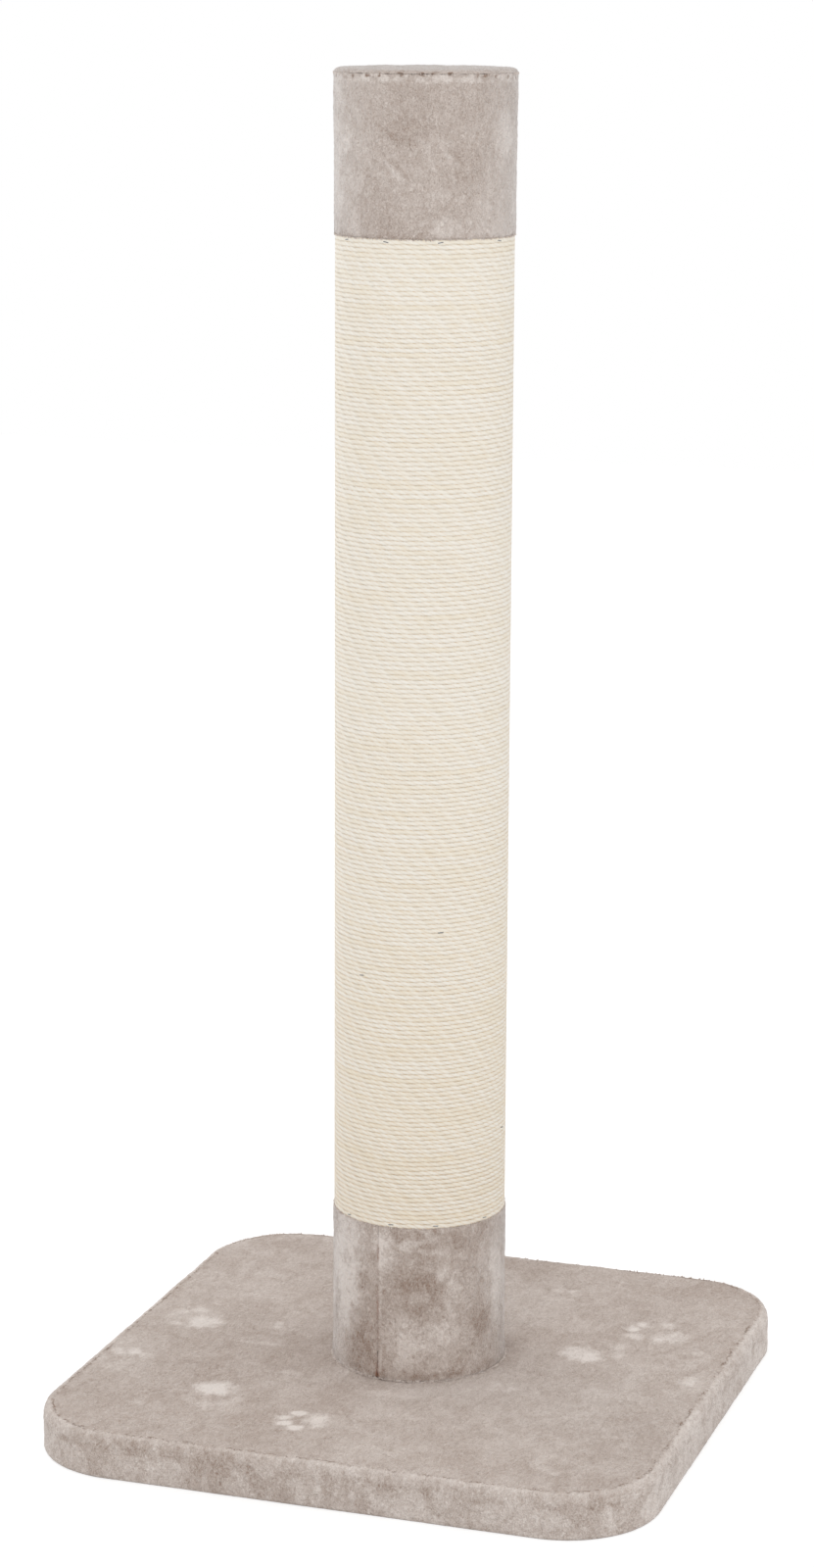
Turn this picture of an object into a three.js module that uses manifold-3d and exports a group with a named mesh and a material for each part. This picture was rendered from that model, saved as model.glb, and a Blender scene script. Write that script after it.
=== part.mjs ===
// A floor-standing scratching post: a plush-covered base board, and a paperboard tube bolted upright on it
// that is wound with sisal rope between a plush sleeve at its foot and another at its head.
// Millimetres, +Z up. The origin is on the floor, below the middle of the base.
import * as THREE from "three";
import { mergeVertices } from "three/addons/utils/BufferGeometryUtils.js";
import Module from "manifold-3d";

const wasm = await Module();
wasm.setup();

// ---------------------------------------------------------------- driving dimensions

const clearance = 0.3; // between pieces that touch
const overcut = 1; // how far a cutting tool runs past the face that it opens
const weldDistance = 1e-4; // corners nearer than this are one

// Base
const baseSide = 600; // over the plush
const baseCornerRadius = 92; // in plan, over the plush
const boardThickness = 36;
const boardEdgeRadius = 5; // routed round the upper edge
const basePlushThickness = 4; // backing and pile, on the top and the sides
const foldThickness = 2.5; // plush turned under the board, pressed flat
const foldWidth = 32;
const foldEdgeRadius = 2.4; // where the plush turns under
const feltGap = 0.8; // between the felt and the edge of the turned-in plush

// Post
const tubeLength = 1235;
const tubeRadius = 78;
const tubeWall = 6;
const seatDepth = 3; // how far the tube crushes the pile it stands on
const bottomPlugThickness = 36;
const topPlugThickness = 18;

// Plush on the post
const sleeveThickness = 5.2;
const lowerSleeveHeight = 154;
const upperSleeveHeight = 146;
const sleeveSwell = 0.6; // how far the loose pile stands out near the base and the top disc
const footSwellHeight = 9; // from the base to where it stands out most
const footSwellFade = 30; // and to where it lies down again
const headSwellDepth = 9; // the same, down from the top of the tube
const headSwellFade = 85;
const sleeveEdgeRadius = 2.2;
const seamWidth = 1.4;
const seamDepth = 1.6;
const lowerSeamAngle = -100; // degrees round from +X
const upperSeamAngle = -165;
const discThickness = 5.2;
const discCrown = 0.8; // how much of that is the rise towards the middle
const discEdgeRadius = 3.6;

// Sisal rope
const ropePitch = 4.3; // from one turn to the next
const ropeGap = 0.5; // between the turns that are drawn one by one
const drawnTurns = 12; // at each end of the winding
const stepsPerTurn = 24;
const ropeSides = 6;
const packedRelief = 0.1; // the packed turns stand this much proud of a drawn one, all round

// Bolts up through the base, with their washers and insert nuts
const boltCount = 4;
const boltCircleRadius = 48;
const firstBoltAngle = 45; // degrees round from +X
const boltRadius = 4;
const boltLength = 70;
const boltTipChamfer = 1;
const boltHeadSides = 6;
const boltHeadHeight = 5.3;
const boltHeadAcrossFlats = 13;
const boltHoleRadius = 4.6;
const washerRadius = 12;
const washerThickness = 2;
const counterboreRadius = 13.5;
const counterboreDepth = 11;
const nutFlangeRadius = 11;
const nutFlangeThickness = 1.6;
const nutBarrelRadius = 5.6;
const nutBarrelLength = 11;

// Screws through the tube into each plug
const screwCount = 4;
const firstScrewAngle = 0;
const screwLength = 30;
const screwRadius = 2;
const screwPointRadius = 0.5;
const screwHeadRadius = 4;
const screwHeadHeight = 2.4;
const screwPointLength = 5;

// Fineness
const tubeSegments = 48;
const cornerSegments = 7;
const edgeSegments = 3;
const fastenerSegments = 16;

// ---------------------------------------------------------------- places that follow from them

const foldTop = foldThickness;
const boardBottom = foldTop + clearance;
const boardTop = boardBottom + boardThickness;
const baseTop = boardTop + clearance + basePlushThickness;
const boardInset = basePlushThickness + clearance;
const boardHalf = baseSide / 2 - boardInset;
const boardCornerRadius = baseCornerRadius - boardInset;

const tubeBottom = baseTop - seatDepth + clearance;
const tubeTop = tubeBottom + tubeLength;
const tubeInnerRadius = tubeRadius - tubeWall;
const plugRadius = tubeInnerRadius - clearance;
const bottomPlugTop = tubeBottom + bottomPlugThickness;
const topPlugBottom = tubeTop - topPlugThickness;

const sleeveInnerRadius = tubeRadius + clearance;
const sleeveRadius = sleeveInnerRadius + sleeveThickness;
const lowerSleeveBottom = baseTop + clearance;
const lowerSleeveTop = lowerSleeveBottom + lowerSleeveHeight;
const upperSleeveBottom = tubeTop - upperSleeveHeight;

const ropeRadius = (ropePitch - ropeGap) / 2;
const ropeHalfWidth = ropeRadius * Math.cos(Math.PI / ropeSides); // its flats face the tube
const ropeOnTube = tubeRadius + clearance + packedRelief + ropeHalfWidth; // at the middle of a step
const ropeCentreRadius = ropeOnTube / Math.cos(Math.PI / stepsPerTurn);
const firstTurnHeight = lowerSleeveTop + clearance + ropeRadius;
const lastTurnHeight = upperSleeveBottom - clearance - ropeRadius;
const packedBottom = firstTurnHeight + (drawnTurns - 0.5) * ropePitch;
const packedTop = lastTurnHeight - (drawnTurns + 0.5) * ropePitch;

const counterboreTop = boardBottom + counterboreDepth;
const washerBottom = counterboreTop - clearance - washerThickness;
const boltHeadTop = washerBottom - clearance;

// ---------------------------------------------------------------- solids and cuts

// A closed geometry as a solid that can be joined and cut.
function solid(geometry) {
  const bare = new THREE.BufferGeometry();
  bare.setAttribute("position", geometry.getAttribute("position").clone());
  bare.setIndex(geometry.getIndex());
  const merged = mergeVertices(bare, weldDistance);
  return new wasm.Manifold(
    new wasm.Mesh({
      numProp: 3,
      vertProperties: merged.getAttribute("position").array,
      triVerts: new Uint32Array(merged.getIndex().array),
    }),
  );
}

// A solid as a geometry with flat faces.
function faceted(manifold) {
  const mesh = manifold.getMesh();
  const geometry = new THREE.BufferGeometry();
  geometry.setAttribute("position", new THREE.BufferAttribute(mesh.vertProperties, 3));
  geometry.setIndex(new THREE.BufferAttribute(mesh.triVerts, 1));
  const flat = geometry.toNonIndexed();
  flat.computeVertexNormals();
  return flat;
}

// Polygons, each a list of corners in order seen from outside, as one geometry.
function geometryOf(polygons) {
  const positions = [];
  for (const polygon of polygons) {
    for (let i = 1; i + 1 < polygon.length; i++) {
      positions.push(...polygon[0], ...polygon[i], ...polygon[i + 1]);
    }
  }
  const geometry = new THREE.BufferGeometry();
  geometry.setAttribute("position", new THREE.Float32BufferAttribute(positions, 3));
  return geometry;
}

// Rings of corners, each ring anticlockwise seen from beyond the last one, as a closed loft.
function loft(rings) {
  const polygons = [[...rings[0]].reverse(), rings[rings.length - 1]];
  for (let r = 0; r + 1 < rings.length; r++) {
    rings[r].forEach((corner, i) => {
      const next = (i + 1) % rings[r].length;
      polygons.push([corner, rings[r][next], rings[r + 1][next], rings[r + 1][i]]);
    });
  }
  return geometryOf(polygons);
}

// A profile of [radius, height] corners, anticlockwise with the axis on its left side, turned round +Z.
function revolved(profile, segments = tubeSegments) {
  const points = [...profile, profile[0]].map(([radius, height]) => new THREE.Vector2(radius, height));
  return new THREE.LatheGeometry(points, segments).rotateX(Math.PI / 2);
}

function cylinder(radius, bottom, top, segments = fastenerSegments) {
  const height = top - bottom;
  return new THREE.CylinderGeometry(radius, radius, height, segments)
    .rotateX(Math.PI / 2)
    .translate(0, 0, bottom + height / 2);
}

// Corners of a quarter round, from angle `from` to `to` degrees.
function arc([radius, height], size, from, to, segments = edgeSegments) {
  return Array.from({ length: segments + 1 }, (_, i) => {
    const angle = THREE.MathUtils.degToRad(from + ((to - from) * i) / segments);
    return [radius + size * Math.cos(angle), height + size * Math.sin(angle)];
  });
}

// A flat square slab with round corners in plan and rounded upper and lower edges.
function slab({ half, corner, bottom, top, topEdge = 0, bottomEdge = 0 }) {
  const ring = (inset, height) => {
    const corners = [];
    for (const [x, y, start] of [[1, 1, 0], [-1, 1, 90], [-1, -1, 180], [1, -1, 270]]) {
      const centre = half - corner;
      corners.push(...arc([x * centre, y * centre], corner - inset, start, start + 90, cornerSegments));
    }
    return corners.map(([px, py]) => [px, py, height]);
  };
  const edge = [
    ...(bottomEdge ? arc([-bottomEdge, bottom + bottomEdge], bottomEdge, -90, 0) : [[0, bottom]]),
    ...(topEdge ? arc([-topEdge, top - topEdge], topEdge, 0, 90) : [[0, top]]),
  ];
  return loft(edge.map(([outward, height]) => ring(-outward, height)));
}

// Angles in radians, spread evenly round the axis from `start` degrees.
function anglesRound(count, start) {
  return Array.from({ length: count }, (_, i) => THREE.MathUtils.degToRad(start + (360 * i) / count));
}

const boltAngles = anglesRound(boltCount, firstBoltAngle);
const screwAngles = anglesRound(screwCount, firstScrewAngle);

function atBolt(geometry, angle) {
  return geometry.translate(boltCircleRadius * Math.cos(angle), boltCircleRadius * Math.sin(angle), 0);
}

function cutAtBolts(body, radius, bottom, top) {
  const hole = (angle) => solid(atBolt(cylinder(radius, bottom, top), angle));
  return boltAngles.reduce((left, angle) => left.subtract(hole(angle)), body);
}

// ---------------------------------------------------------------- materials

function finish(color, roughness, metalness = 0) {
  return new THREE.MeshStandardMaterial({ color, roughness, metalness });
}

const finishes = {
  plush: () => finish("#bdb1a8", 0.95),
  sisal: () => finish("#e8e0cf", 0.9),
  chipboard: () => finish("#c3a071", 0.85),
  plugBoard: () => finish("#b8935f", 0.8),
  paperboard: () => finish("#a98a63", 0.9),
  felt: () => finish("#3b3836", 0.95),
  zincSteel: () => finish("#b9bcbf", 0.35, 0.9),
};

const post = new THREE.Group();

function place(name, geometry, material) {
  const mesh = new THREE.Mesh(geometry, material());
  mesh.name = name;
  post.add(mesh);
}

// ---------------------------------------------------------------- base

function baseBoard() {
  const blank = slab({
    half: boardHalf,
    corner: boardCornerRadius,
    bottom: boardBottom,
    top: boardTop,
    topEdge: boardEdgeRadius,
  });
  let board = solid(blank);
  board = cutAtBolts(board, boltHoleRadius, boardBottom - overcut, boardTop + overcut);
  board = cutAtBolts(board, counterboreRadius, boardBottom - overcut, counterboreTop);
  return faceted(board);
}

// The opening that the turned-in plush leaves under the board.
const foldOpening = { half: boardHalf - foldWidth, corner: boardCornerRadius - foldWidth };

// One piece of plush over the top, down the sides and turned under the board.
function basePlushCover() {
  const outside = solid(
    slab({
      half: baseSide / 2,
      corner: baseCornerRadius,
      bottom: 0,
      top: baseTop,
      topEdge: boardEdgeRadius + boardInset,
      bottomEdge: foldEdgeRadius,
    }),
  );
  const inside = solid(
    slab({
      half: boardHalf + clearance,
      corner: boardCornerRadius + clearance,
      bottom: foldTop,
      top: boardTop + clearance,
      topEdge: boardEdgeRadius + clearance,
    }),
  );
  const opening = solid(slab({ ...foldOpening, bottom: -overcut, top: foldTop + overcut }));
  const seatRadius = tubeRadius + clearance;
  const seat = solid(cylinder(seatRadius, baseTop - seatDepth, baseTop + overcut, tubeSegments));
  const cover = outside.subtract(inside).subtract(opening).subtract(seat);
  return faceted(cutAtBolts(cover, boltHoleRadius, boardTop - overcut, baseTop + overcut));
}

function baseFelt() {
  const sheet = solid(
    slab({ half: foldOpening.half - feltGap, corner: foldOpening.corner - feltGap, bottom: 0, top: foldTop }),
  );
  return faceted(cutAtBolts(sheet, counterboreRadius, -overcut, foldTop + overcut));
}

place("base_board", baseBoard(), finishes.chipboard);
place("base_plush_cover", basePlushCover(), finishes.plush);
place("base_underside_felt", baseFelt(), finishes.felt);

// ---------------------------------------------------------------- fasteners

// A countersunk screw with its point at height 0, or the hole for it when grown.
function screwProfile(grow, past) {
  const headBottom = screwLength - screwHeadHeight;
  const profile = [
    [0, -grow],
    [screwPointRadius + grow, -grow],
    [screwRadius + grow, screwPointLength],
    [screwRadius + grow, headBottom],
    [screwHeadRadius + grow, screwLength],
  ];
  if (past) profile.push([screwHeadRadius + grow, screwLength + past]);
  return [...profile, [0, screwLength + past]];
}

// Lays a screw that stands on its point along a radius, with its head just below the tube's face.
function radially(geometry, angle, height) {
  return geometry
    .rotateY(Math.PI / 2)
    .translate(tubeRadius - clearance - screwLength, 0, 0)
    .rotateZ(angle)
    .translate(0, 0, height);
}

function cutForScrews(body, height) {
  const profile = screwProfile(clearance, overcut + clearance);
  const hole = (angle) => solid(radially(revolved(profile, fastenerSegments), angle, height));
  return screwAngles.reduce((left, angle) => left.subtract(hole(angle)), body);
}

const bottomScrewHeight = tubeBottom + bottomPlugThickness / 2;
const topScrewHeight = tubeTop - topPlugThickness / 2;

function plugScrews(name, height) {
  screwAngles.forEach((angle, i) => {
    const screw = radially(revolved(screwProfile(0, 0), fastenerSegments), angle, height);
    place(`${name}_${i + 1}`, faceted(solid(screw)), finishes.zincSteel);
  });
}

function baseBolt(angle) {
  const headBottom = boltHeadTop - boltHeadHeight;
  const headRadius = boltHeadAcrossFlats / 2 / Math.cos(Math.PI / boltHeadSides);
  const chamfer = headRadius - boltHeadAcrossFlats / 2;
  const head = solid(cylinder(headRadius, headBottom, boltHeadTop, boltHeadSides));
  const chamferedDisc = revolved(
    [
      [0, headBottom],
      [boltHeadAcrossFlats / 2, headBottom],
      [headRadius + chamfer, headBottom + chamfer],
      [headRadius + chamfer, boltHeadTop + overcut],
      [0, boltHeadTop + overcut],
    ],
    fastenerSegments,
  );
  const tip = boltHeadTop + boltLength;
  const shank = revolved(
    [
      [0, boltHeadTop - boltHeadHeight / 2],
      [boltRadius, boltHeadTop - boltHeadHeight / 2],
      [boltRadius, tip - boltTipChamfer],
      [boltRadius - boltTipChamfer, tip],
      [0, tip],
    ],
    fastenerSegments,
  );
  return atBolt(faceted(head.intersect(solid(chamferedDisc)).add(solid(shank))), angle);
}

function baseWasher(angle) {
  const washer = revolved(
    [
      [boltHoleRadius, washerBottom],
      [washerRadius, washerBottom],
      [washerRadius, washerBottom + washerThickness],
      [boltHoleRadius, washerBottom + washerThickness],
    ],
    fastenerSegments,
  );
  return atBolt(faceted(solid(washer)), angle);
}

// A flanged nut let into the top of the bottom plug, its barrel downwards.
function insertNut(angle) {
  const flangeBottom = bottomPlugTop + clearance;
  const bore = boltRadius + clearance;
  const nut = revolved(
    [
      [bore, flangeBottom - nutBarrelLength],
      [nutBarrelRadius, flangeBottom - nutBarrelLength],
      [nutBarrelRadius, flangeBottom],
      [nutFlangeRadius, flangeBottom],
      [nutFlangeRadius, flangeBottom + nutFlangeThickness],
      [bore, flangeBottom + nutFlangeThickness],
    ],
    fastenerSegments,
  );
  return atBolt(faceted(solid(nut)), angle);
}

boltAngles.forEach((angle, i) => {
  place(`base_bolt_${i + 1}`, baseBolt(angle), finishes.zincSteel);
  place(`base_washer_${i + 1}`, baseWasher(angle), finishes.zincSteel);
  place(`insert_nut_${i + 1}`, insertNut(angle), finishes.zincSteel);
});
plugScrews("bottom_plug_screw", bottomScrewHeight);
plugScrews("top_plug_screw", topScrewHeight);

// ---------------------------------------------------------------- tube and plugs

function coreTube() {
  const wall = revolved([
    [tubeInnerRadius, tubeBottom],
    [tubeRadius, tubeBottom],
    [tubeRadius, tubeTop],
    [tubeInnerRadius, tubeTop],
  ]);
  return faceted(cutForScrews(cutForScrews(solid(wall), bottomScrewHeight), topScrewHeight));
}

function bottomPlug() {
  let plug = solid(cylinder(plugRadius, tubeBottom, bottomPlugTop, tubeSegments));
  plug = cutAtBolts(plug, boltHoleRadius, tubeBottom - overcut, bottomPlugTop + overcut);
  const barrelPocketBottom = bottomPlugTop - nutBarrelLength;
  plug = cutAtBolts(plug, nutBarrelRadius + clearance, barrelPocketBottom, bottomPlugTop + overcut);
  return faceted(cutForScrews(plug, bottomScrewHeight));
}

function topPlug() {
  const plug = solid(cylinder(plugRadius, topPlugBottom, tubeTop, tubeSegments));
  return faceted(cutForScrews(plug, topScrewHeight));
}

place("core_tube", coreTube(), finishes.paperboard);
place("bottom_plug", bottomPlug(), finishes.plugBoard);
place("top_plug", topPlug(), finishes.plugBoard);

// ---------------------------------------------------------------- plush on the post

// The slit where the two ends of a sleeve's plush meet.
function seamSlit(angle, bottom, top) {
  const depth = seamDepth + sleeveSwell + overcut;
  const height = top - bottom + 2 * overcut;
  const slit = new THREE.BoxGeometry(depth, seamWidth, height)
    .translate(sleeveRadius - seamDepth + depth / 2, 0, (bottom + top) / 2)
    .rotateZ(THREE.MathUtils.degToRad(angle));
  return solid(slit);
}

// A sleeve of plush with rolled edges; `outline` gives the corners of its outer face between them.
function plushSleeve(bottom, top, outline, seamAngle) {
  const edge = sleeveEdgeRadius;
  const profile = [
    [sleeveInnerRadius, bottom],
    ...arc([sleeveRadius - edge, bottom + edge], edge, -90, 0),
    ...outline,
    ...arc([sleeveRadius - edge, top - edge], edge, 0, 90),
    [sleeveInnerRadius, top],
  ];
  return faceted(solid(revolved(profile)).subtract(seamSlit(seamAngle, bottom, top)));
}

// The pile of the lower sleeve stands out where it meets the base, the upper one's below the top disc.
function lowerPlushSleeve() {
  const [bottom, top] = [lowerSleeveBottom, lowerSleeveTop];
  const outline = [
    [sleeveRadius + sleeveSwell, bottom + footSwellHeight],
    [sleeveRadius, bottom + footSwellFade],
  ];
  return plushSleeve(bottom, top, outline, lowerSeamAngle);
}

function upperPlushSleeve() {
  const [bottom, top] = [upperSleeveBottom, tubeTop];
  const outline = [
    [sleeveRadius, top - headSwellFade],
    [sleeveRadius + sleeveSwell, top - headSwellDepth],
  ];
  return plushSleeve(bottom, top, outline, upperSeamAngle);
}

function topPlushDisc() {
  const bottom = tubeTop + clearance;
  const rimTop = bottom + discThickness - discCrown;
  const lip = sleeveRadius - discEdgeRadius;
  const underEdge = rimTop - discEdgeRadius - bottom;
  const crownAt = (radius) => rimTop + discCrown * (1 - (radius / lip) ** 2);
  const disc = revolved([
    [0, bottom],
    [sleeveRadius - underEdge, bottom],
    ...arc([lip, rimTop - discEdgeRadius], discEdgeRadius, 0, 90),
    [lip / 2, crownAt(lip / 2)],
    [0, crownAt(0)],
  ]);
  return faceted(solid(disc));
}

place("lower_plush_sleeve", lowerPlushSleeve(), finishes.plush);
place("upper_plush_sleeve", upperPlushSleeve(), finishes.plush);
place("top_plush_disc", topPlushDisc(), finishes.plush);

// ---------------------------------------------------------------- sisal rope

const turnAngle = (turns) => 2 * Math.PI * turns;

// The rope's cross-section `along` millimetres on from the point of the helix `turns` round from the +X side.
function ropeRing(turns, height, along = 0) {
  const angle = turnAngle(turns);
  const outward = new THREE.Vector3(Math.cos(angle), Math.sin(angle), 0);
  const onward = new THREE.Vector3(-Math.sin(angle), Math.cos(angle), 0);
  return Array.from({ length: ropeSides }, (_, side) => {
    const around = Math.PI / 2 - (2 * Math.PI * side) / ropeSides;
    const corner = outward
      .clone()
      .multiplyScalar(ropeCentreRadius + ropeRadius * Math.cos(around))
      .addScaledVector(onward, along);
    return [corner.x, corner.y, height + ropeRadius * Math.sin(around)];
  });
}

// Turns of rope as one tube: from `start` to `end` turns round, at `height` where turns is 0.
// Each end runs straight on for one rope diameter.
function ropeTurns(start, end, height) {
  const steps = Math.round((end - start) * stepsPerTurn);
  const heightAt = (turns) => height + turns * ropePitch;
  const rings = [ropeRing(start, heightAt(start), -2 * ropeRadius)];
  for (let i = 0; i <= steps; i++) {
    const turns = start + i / stepsPerTurn;
    rings.push(ropeRing(turns, heightAt(turns)));
  }
  rings.push(ropeRing(end, heightAt(end), 2 * ropeRadius));
  return rings;
}

// The least distance between corners of the tube that lie more than half a turn apart along it.
function leastGap(rings) {
  let least = Infinity;
  const apart = stepsPerTurn / 2;
  rings.forEach((ring, i) => {
    for (const other of rings.slice(i + apart + 1)) {
      for (const a of ring) {
        for (const b of other) least = Math.min(least, Math.hypot(a[0] - b[0], a[1] - b[1], a[2] - b[2]));
      }
    }
  });
  return least;
}

// The turns between, packed side by side into one band that climbs a pitch as it goes round once,
// so that each of its ends has a step as high as one turn, which the rope runs squarely into.
function packedTurns(bottom, top) {
  const inner = ropeCentreRadius - ropeHalfWidth - packedRelief;
  const outer = ropeCentreRadius + ropeHalfWidth + packedRelief;
  const at = (radius, step, height) => {
    const angle = turnAngle((step % stepsPerTurn) / stepsPerTurn);
    return [radius * Math.cos(angle), radius * Math.sin(angle), height];
  };
  const climb = (step) => (ropePitch * step) / stepsPerTurn;
  const last = stepsPerTurn - 1;
  const polygons = [];
  for (let step = 0; step <= last; step++) {
    const next = step + 1;
    const lows = [bottom + climb(step), bottom + climb(next)];
    const highs = [top + climb(step), top + climb(next)];
    // A wall's side at the step has an extra corner, where the band's other end meets it.
    const wall = (radius) => {
      const corners = [at(radius, next, lows[1]), at(radius, next, highs[1]), at(radius, step, highs[0])];
      if (step === 0) corners.push(at(radius, 0, bottom + ropePitch));
      corners.push(at(radius, step, lows[0]));
      if (step !== last) return corners;
      return [corners.at(-1), corners[0], at(radius, 0, top), corners[1], corners[2]];
    };
    const [corner, ...others] = wall(inner);
    polygons.push(wall(outer), [corner, ...others.reverse()]);
    const end = (from, to, [here, there]) => [
      at(from, step, here),
      at(from, next, there),
      at(to, next, there),
      at(to, step, here),
    ];
    polygons.push(end(inner, outer, lows), end(outer, inner, highs));
  }
  const stepFace = (height) => [
    at(inner, 0, height),
    at(outer, 0, height),
    at(outer, 0, height + ropePitch),
    at(inner, 0, height + ropePitch),
  ];
  polygons.push(stepFace(bottom), stepFace(top).reverse());
  return geometryOf(polygons);
}

function sisalRope() {
  const lower = ropeTurns(-drawnTurns, 0, packedBottom + ropePitch / 2);
  const upper = ropeTurns(0, drawnTurns, packedTop + ropePitch / 2);
  const gap = Math.min(leastGap(lower), leastGap(upper));
  console.log(`sisal rope: least gap between drawn turns ${gap.toFixed(2)} mm`);
  const packed = solid(packedTurns(packedBottom, packedTop));
  return faceted(packed.add(solid(loft(lower))).add(solid(loft(upper))));
}

place("sisal_rope", sisalRope(), finishes.sisal);

export default post;
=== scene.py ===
# %% [markdown]
# # A plush and sisal scratching post
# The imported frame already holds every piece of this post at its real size. This lesson dresses it:
# short plush pulled over the base and glued round the post, a thin sisal rope wound turn on turn,
# and the small things that give such a post away up close, such as seams, tufts and staples.
# Nothing on the post moves, so every piece rides on the one body of the frame.

# %% The frame
import math

import bmesh
import bpy
import numpy as np
from mathutils import Matrix, Vector, noise


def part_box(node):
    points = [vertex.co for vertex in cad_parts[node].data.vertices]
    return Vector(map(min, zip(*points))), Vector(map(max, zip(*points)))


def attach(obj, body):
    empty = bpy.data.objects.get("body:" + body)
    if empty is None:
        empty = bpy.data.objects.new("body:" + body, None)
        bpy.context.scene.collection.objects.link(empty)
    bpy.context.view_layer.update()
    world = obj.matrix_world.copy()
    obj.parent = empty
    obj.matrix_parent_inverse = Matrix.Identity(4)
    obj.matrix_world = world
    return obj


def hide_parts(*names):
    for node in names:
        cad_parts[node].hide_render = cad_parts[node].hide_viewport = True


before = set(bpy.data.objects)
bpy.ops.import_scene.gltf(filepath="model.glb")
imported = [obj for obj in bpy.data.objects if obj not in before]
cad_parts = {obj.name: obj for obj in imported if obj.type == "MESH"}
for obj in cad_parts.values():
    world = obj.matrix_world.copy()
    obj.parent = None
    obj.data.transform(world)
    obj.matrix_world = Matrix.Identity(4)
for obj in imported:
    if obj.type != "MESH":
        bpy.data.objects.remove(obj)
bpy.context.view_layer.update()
BODY = "root"
MM = 0.001

# %% [markdown]
# The sizes that the looks need are read off the frame's own boxes, so that the soft pieces stay
# where their plain stand-ins are, also after the frame is packed again with another size.

# %% Sizes read off the frame
base_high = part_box("base_plush_cover")[1]
board_low, board_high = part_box("base_board")
tube_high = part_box("core_tube")[1]
lower_low, lower_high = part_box("lower_plush_sleeve")
upper_low, upper_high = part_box("upper_plush_sleeve")
disc_low, disc_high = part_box("top_plush_disc")
felt_low, felt_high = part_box("base_underside_felt")

BASE_HALF = base_high.x
BASE_TOP = base_high.z
TUBE_RADIUS = tube_high.x
SLEEVE_RADIUS = disc_high.x
WINDING_BOTTOM = lower_high.z
WINDING_TOP = upper_low.z
print(f"base {2 * BASE_HALF:.3f} m square, winding {WINDING_TOP - WINDING_BOTTOM:.3f} m tall")

# %% [markdown]
# Node trees are wired by code here. A value on its way from one node to the next is a `Wire`, and
# Python's own signs on wires add the Math nodes, so that a formula reads as one. A `Bench` makes every
# other node: it takes the node's kind, then what goes into its first sockets, then its settings and
# its other sockets by name.

# %% Wires and the bench
class Wire:
    """The value that leaves one socket of a node tree."""

    def __init__(self, bench, socket):
        self.bench = bench
        self.socket = socket

    def __abs__(self):
        return self.bench.math("ABSOLUTE", self)


def sign(operation, swapped):
    """What one of Python's signs does between a wire and another value."""

    def worked_out(wire, other):
        return wire.bench.math(operation, *((other, wire) if swapped else (wire, other)))

    return worked_out


SIGNS = {"add": "ADD", "sub": "SUBTRACT", "mul": "MULTIPLY", "truediv": "DIVIDE"}
for word, operation in SIGNS.items():
    setattr(Wire, f"__{word}__", sign(operation, False))
    setattr(Wire, f"__r{word}__", sign(operation, True))

KINDS = ("ShaderNode", "GeometryNode", "FunctionNode", "Node")


class Bench:
    """One node tree, being wired."""

    def __init__(self, tree):
        self.tree = tree
        tree.nodes.clear()

    def node(self, kind, *values, out=0, at=None, **named):
        """Makes a node and gives the wire from one of its outputs. Plain values go into its first
        sockets and `at` says others by number. Of the names, those with a capital are sockets, with
        _ for a space, and the rest are the node's settings."""
        made = self.tree.nodes.new(next(k + kind for k in KINDS if hasattr(bpy.types, k + kind)))
        sockets = {**dict(enumerate(values)), **(at or {})}
        for name, value in named.items():
            if name[0].isupper():
                sockets[name.replace("_", " ")] = value
            else:
                setattr(made, name, value)
        for name, value in sockets.items():
            if isinstance(value, Wire):
                self.tree.links.new(value.socket, made.inputs[name])
            else:
                made.inputs[name].default_value = value
        return Wire(self, made.outputs[out]) if made.outputs else None

    def math(self, operation, *values):
        return self.node("Math", *values, operation=operation)

    def vector(self, operation, *values, **more):
        return self.node("VectorMath", *values, operation=operation, **more)

    def smooth(self, value, low, high):
        """0 where the value is below `low`, 1 above `high`, and a soft step between."""
        return self.node("MapRange", value, low, high, interpolation_type="SMOOTHSTEP")

    def band(self, value, middle, reach):
        """1 where the value is `middle`, falling softly to 0 at `reach` away from it."""
        return 1 - self.smooth(abs(value - middle), 0.0, reach)

    def clamp(self, value):
        return self.node("Clamp", value)

    def blend(self, share, one, other):
        """Colour `one` where the share is 0 and `other` where it is 1."""
        return self.node("Mix", data_type="RGBA", at={0: share, 6: one, 7: other}, out=2)

    def scaled(self, vector, factors):
        return self.vector("MULTIPLY", vector, factors)

    def length(self, vector):
        return self.vector("LENGTH", vector, out="Value")

    def joined(self, x=0.0, y=0.0, z=0.0):
        return self.node("CombineXYZ", x, y, z)

    def turned(self, radius, angle, height=0.0):
        """The point at this angle round the Z axis."""
        return self.joined(radius * self.math("COSINE", angle), radius * self.math("SINE", angle), height)

    def split(self, vector):
        separated = self.node("SeparateXYZ", vector)
        return [Wire(self, socket) for socket in separated.socket.node.outputs]

    def noise(self, vector, size, detail=2.0, roughness=0.5, distortion=0.0):
        """Noise between about 0.25 and 0.75, with spots about this many metres across."""
        shape = {"Detail": detail, "Roughness": roughness, "Distortion": distortion}
        return self.node("TexNoise", Vector=vector, Scale=1 / size, **shape)

    def place(self):
        """Where a point of the piece lies."""
        return self.node("TexCoord", out="Object")

    def attribute(self, name):
        return self.node("Attribute", attribute_name=name, out="Fac")


def rgb(red, green, blue):
    """A colour given as a picture editor shows it, from 0 to 255, as the shader wants it."""
    shares = [value / 255 for value in (red, green, blue)]
    return (*[s / 12.92 if s <= 0.04045 else ((s + 0.055) / 1.055) ** 2.4 for s in shares], 1.0)


print("bench ready")

# %% [markdown]
# The camera stands a little above the top of the post and looks slightly down at it, from the front
# and to the right of the base. Its place came from the ellipses of the post and the edges of the
# base: they agree on one place only once the base's side is fixed.

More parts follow.
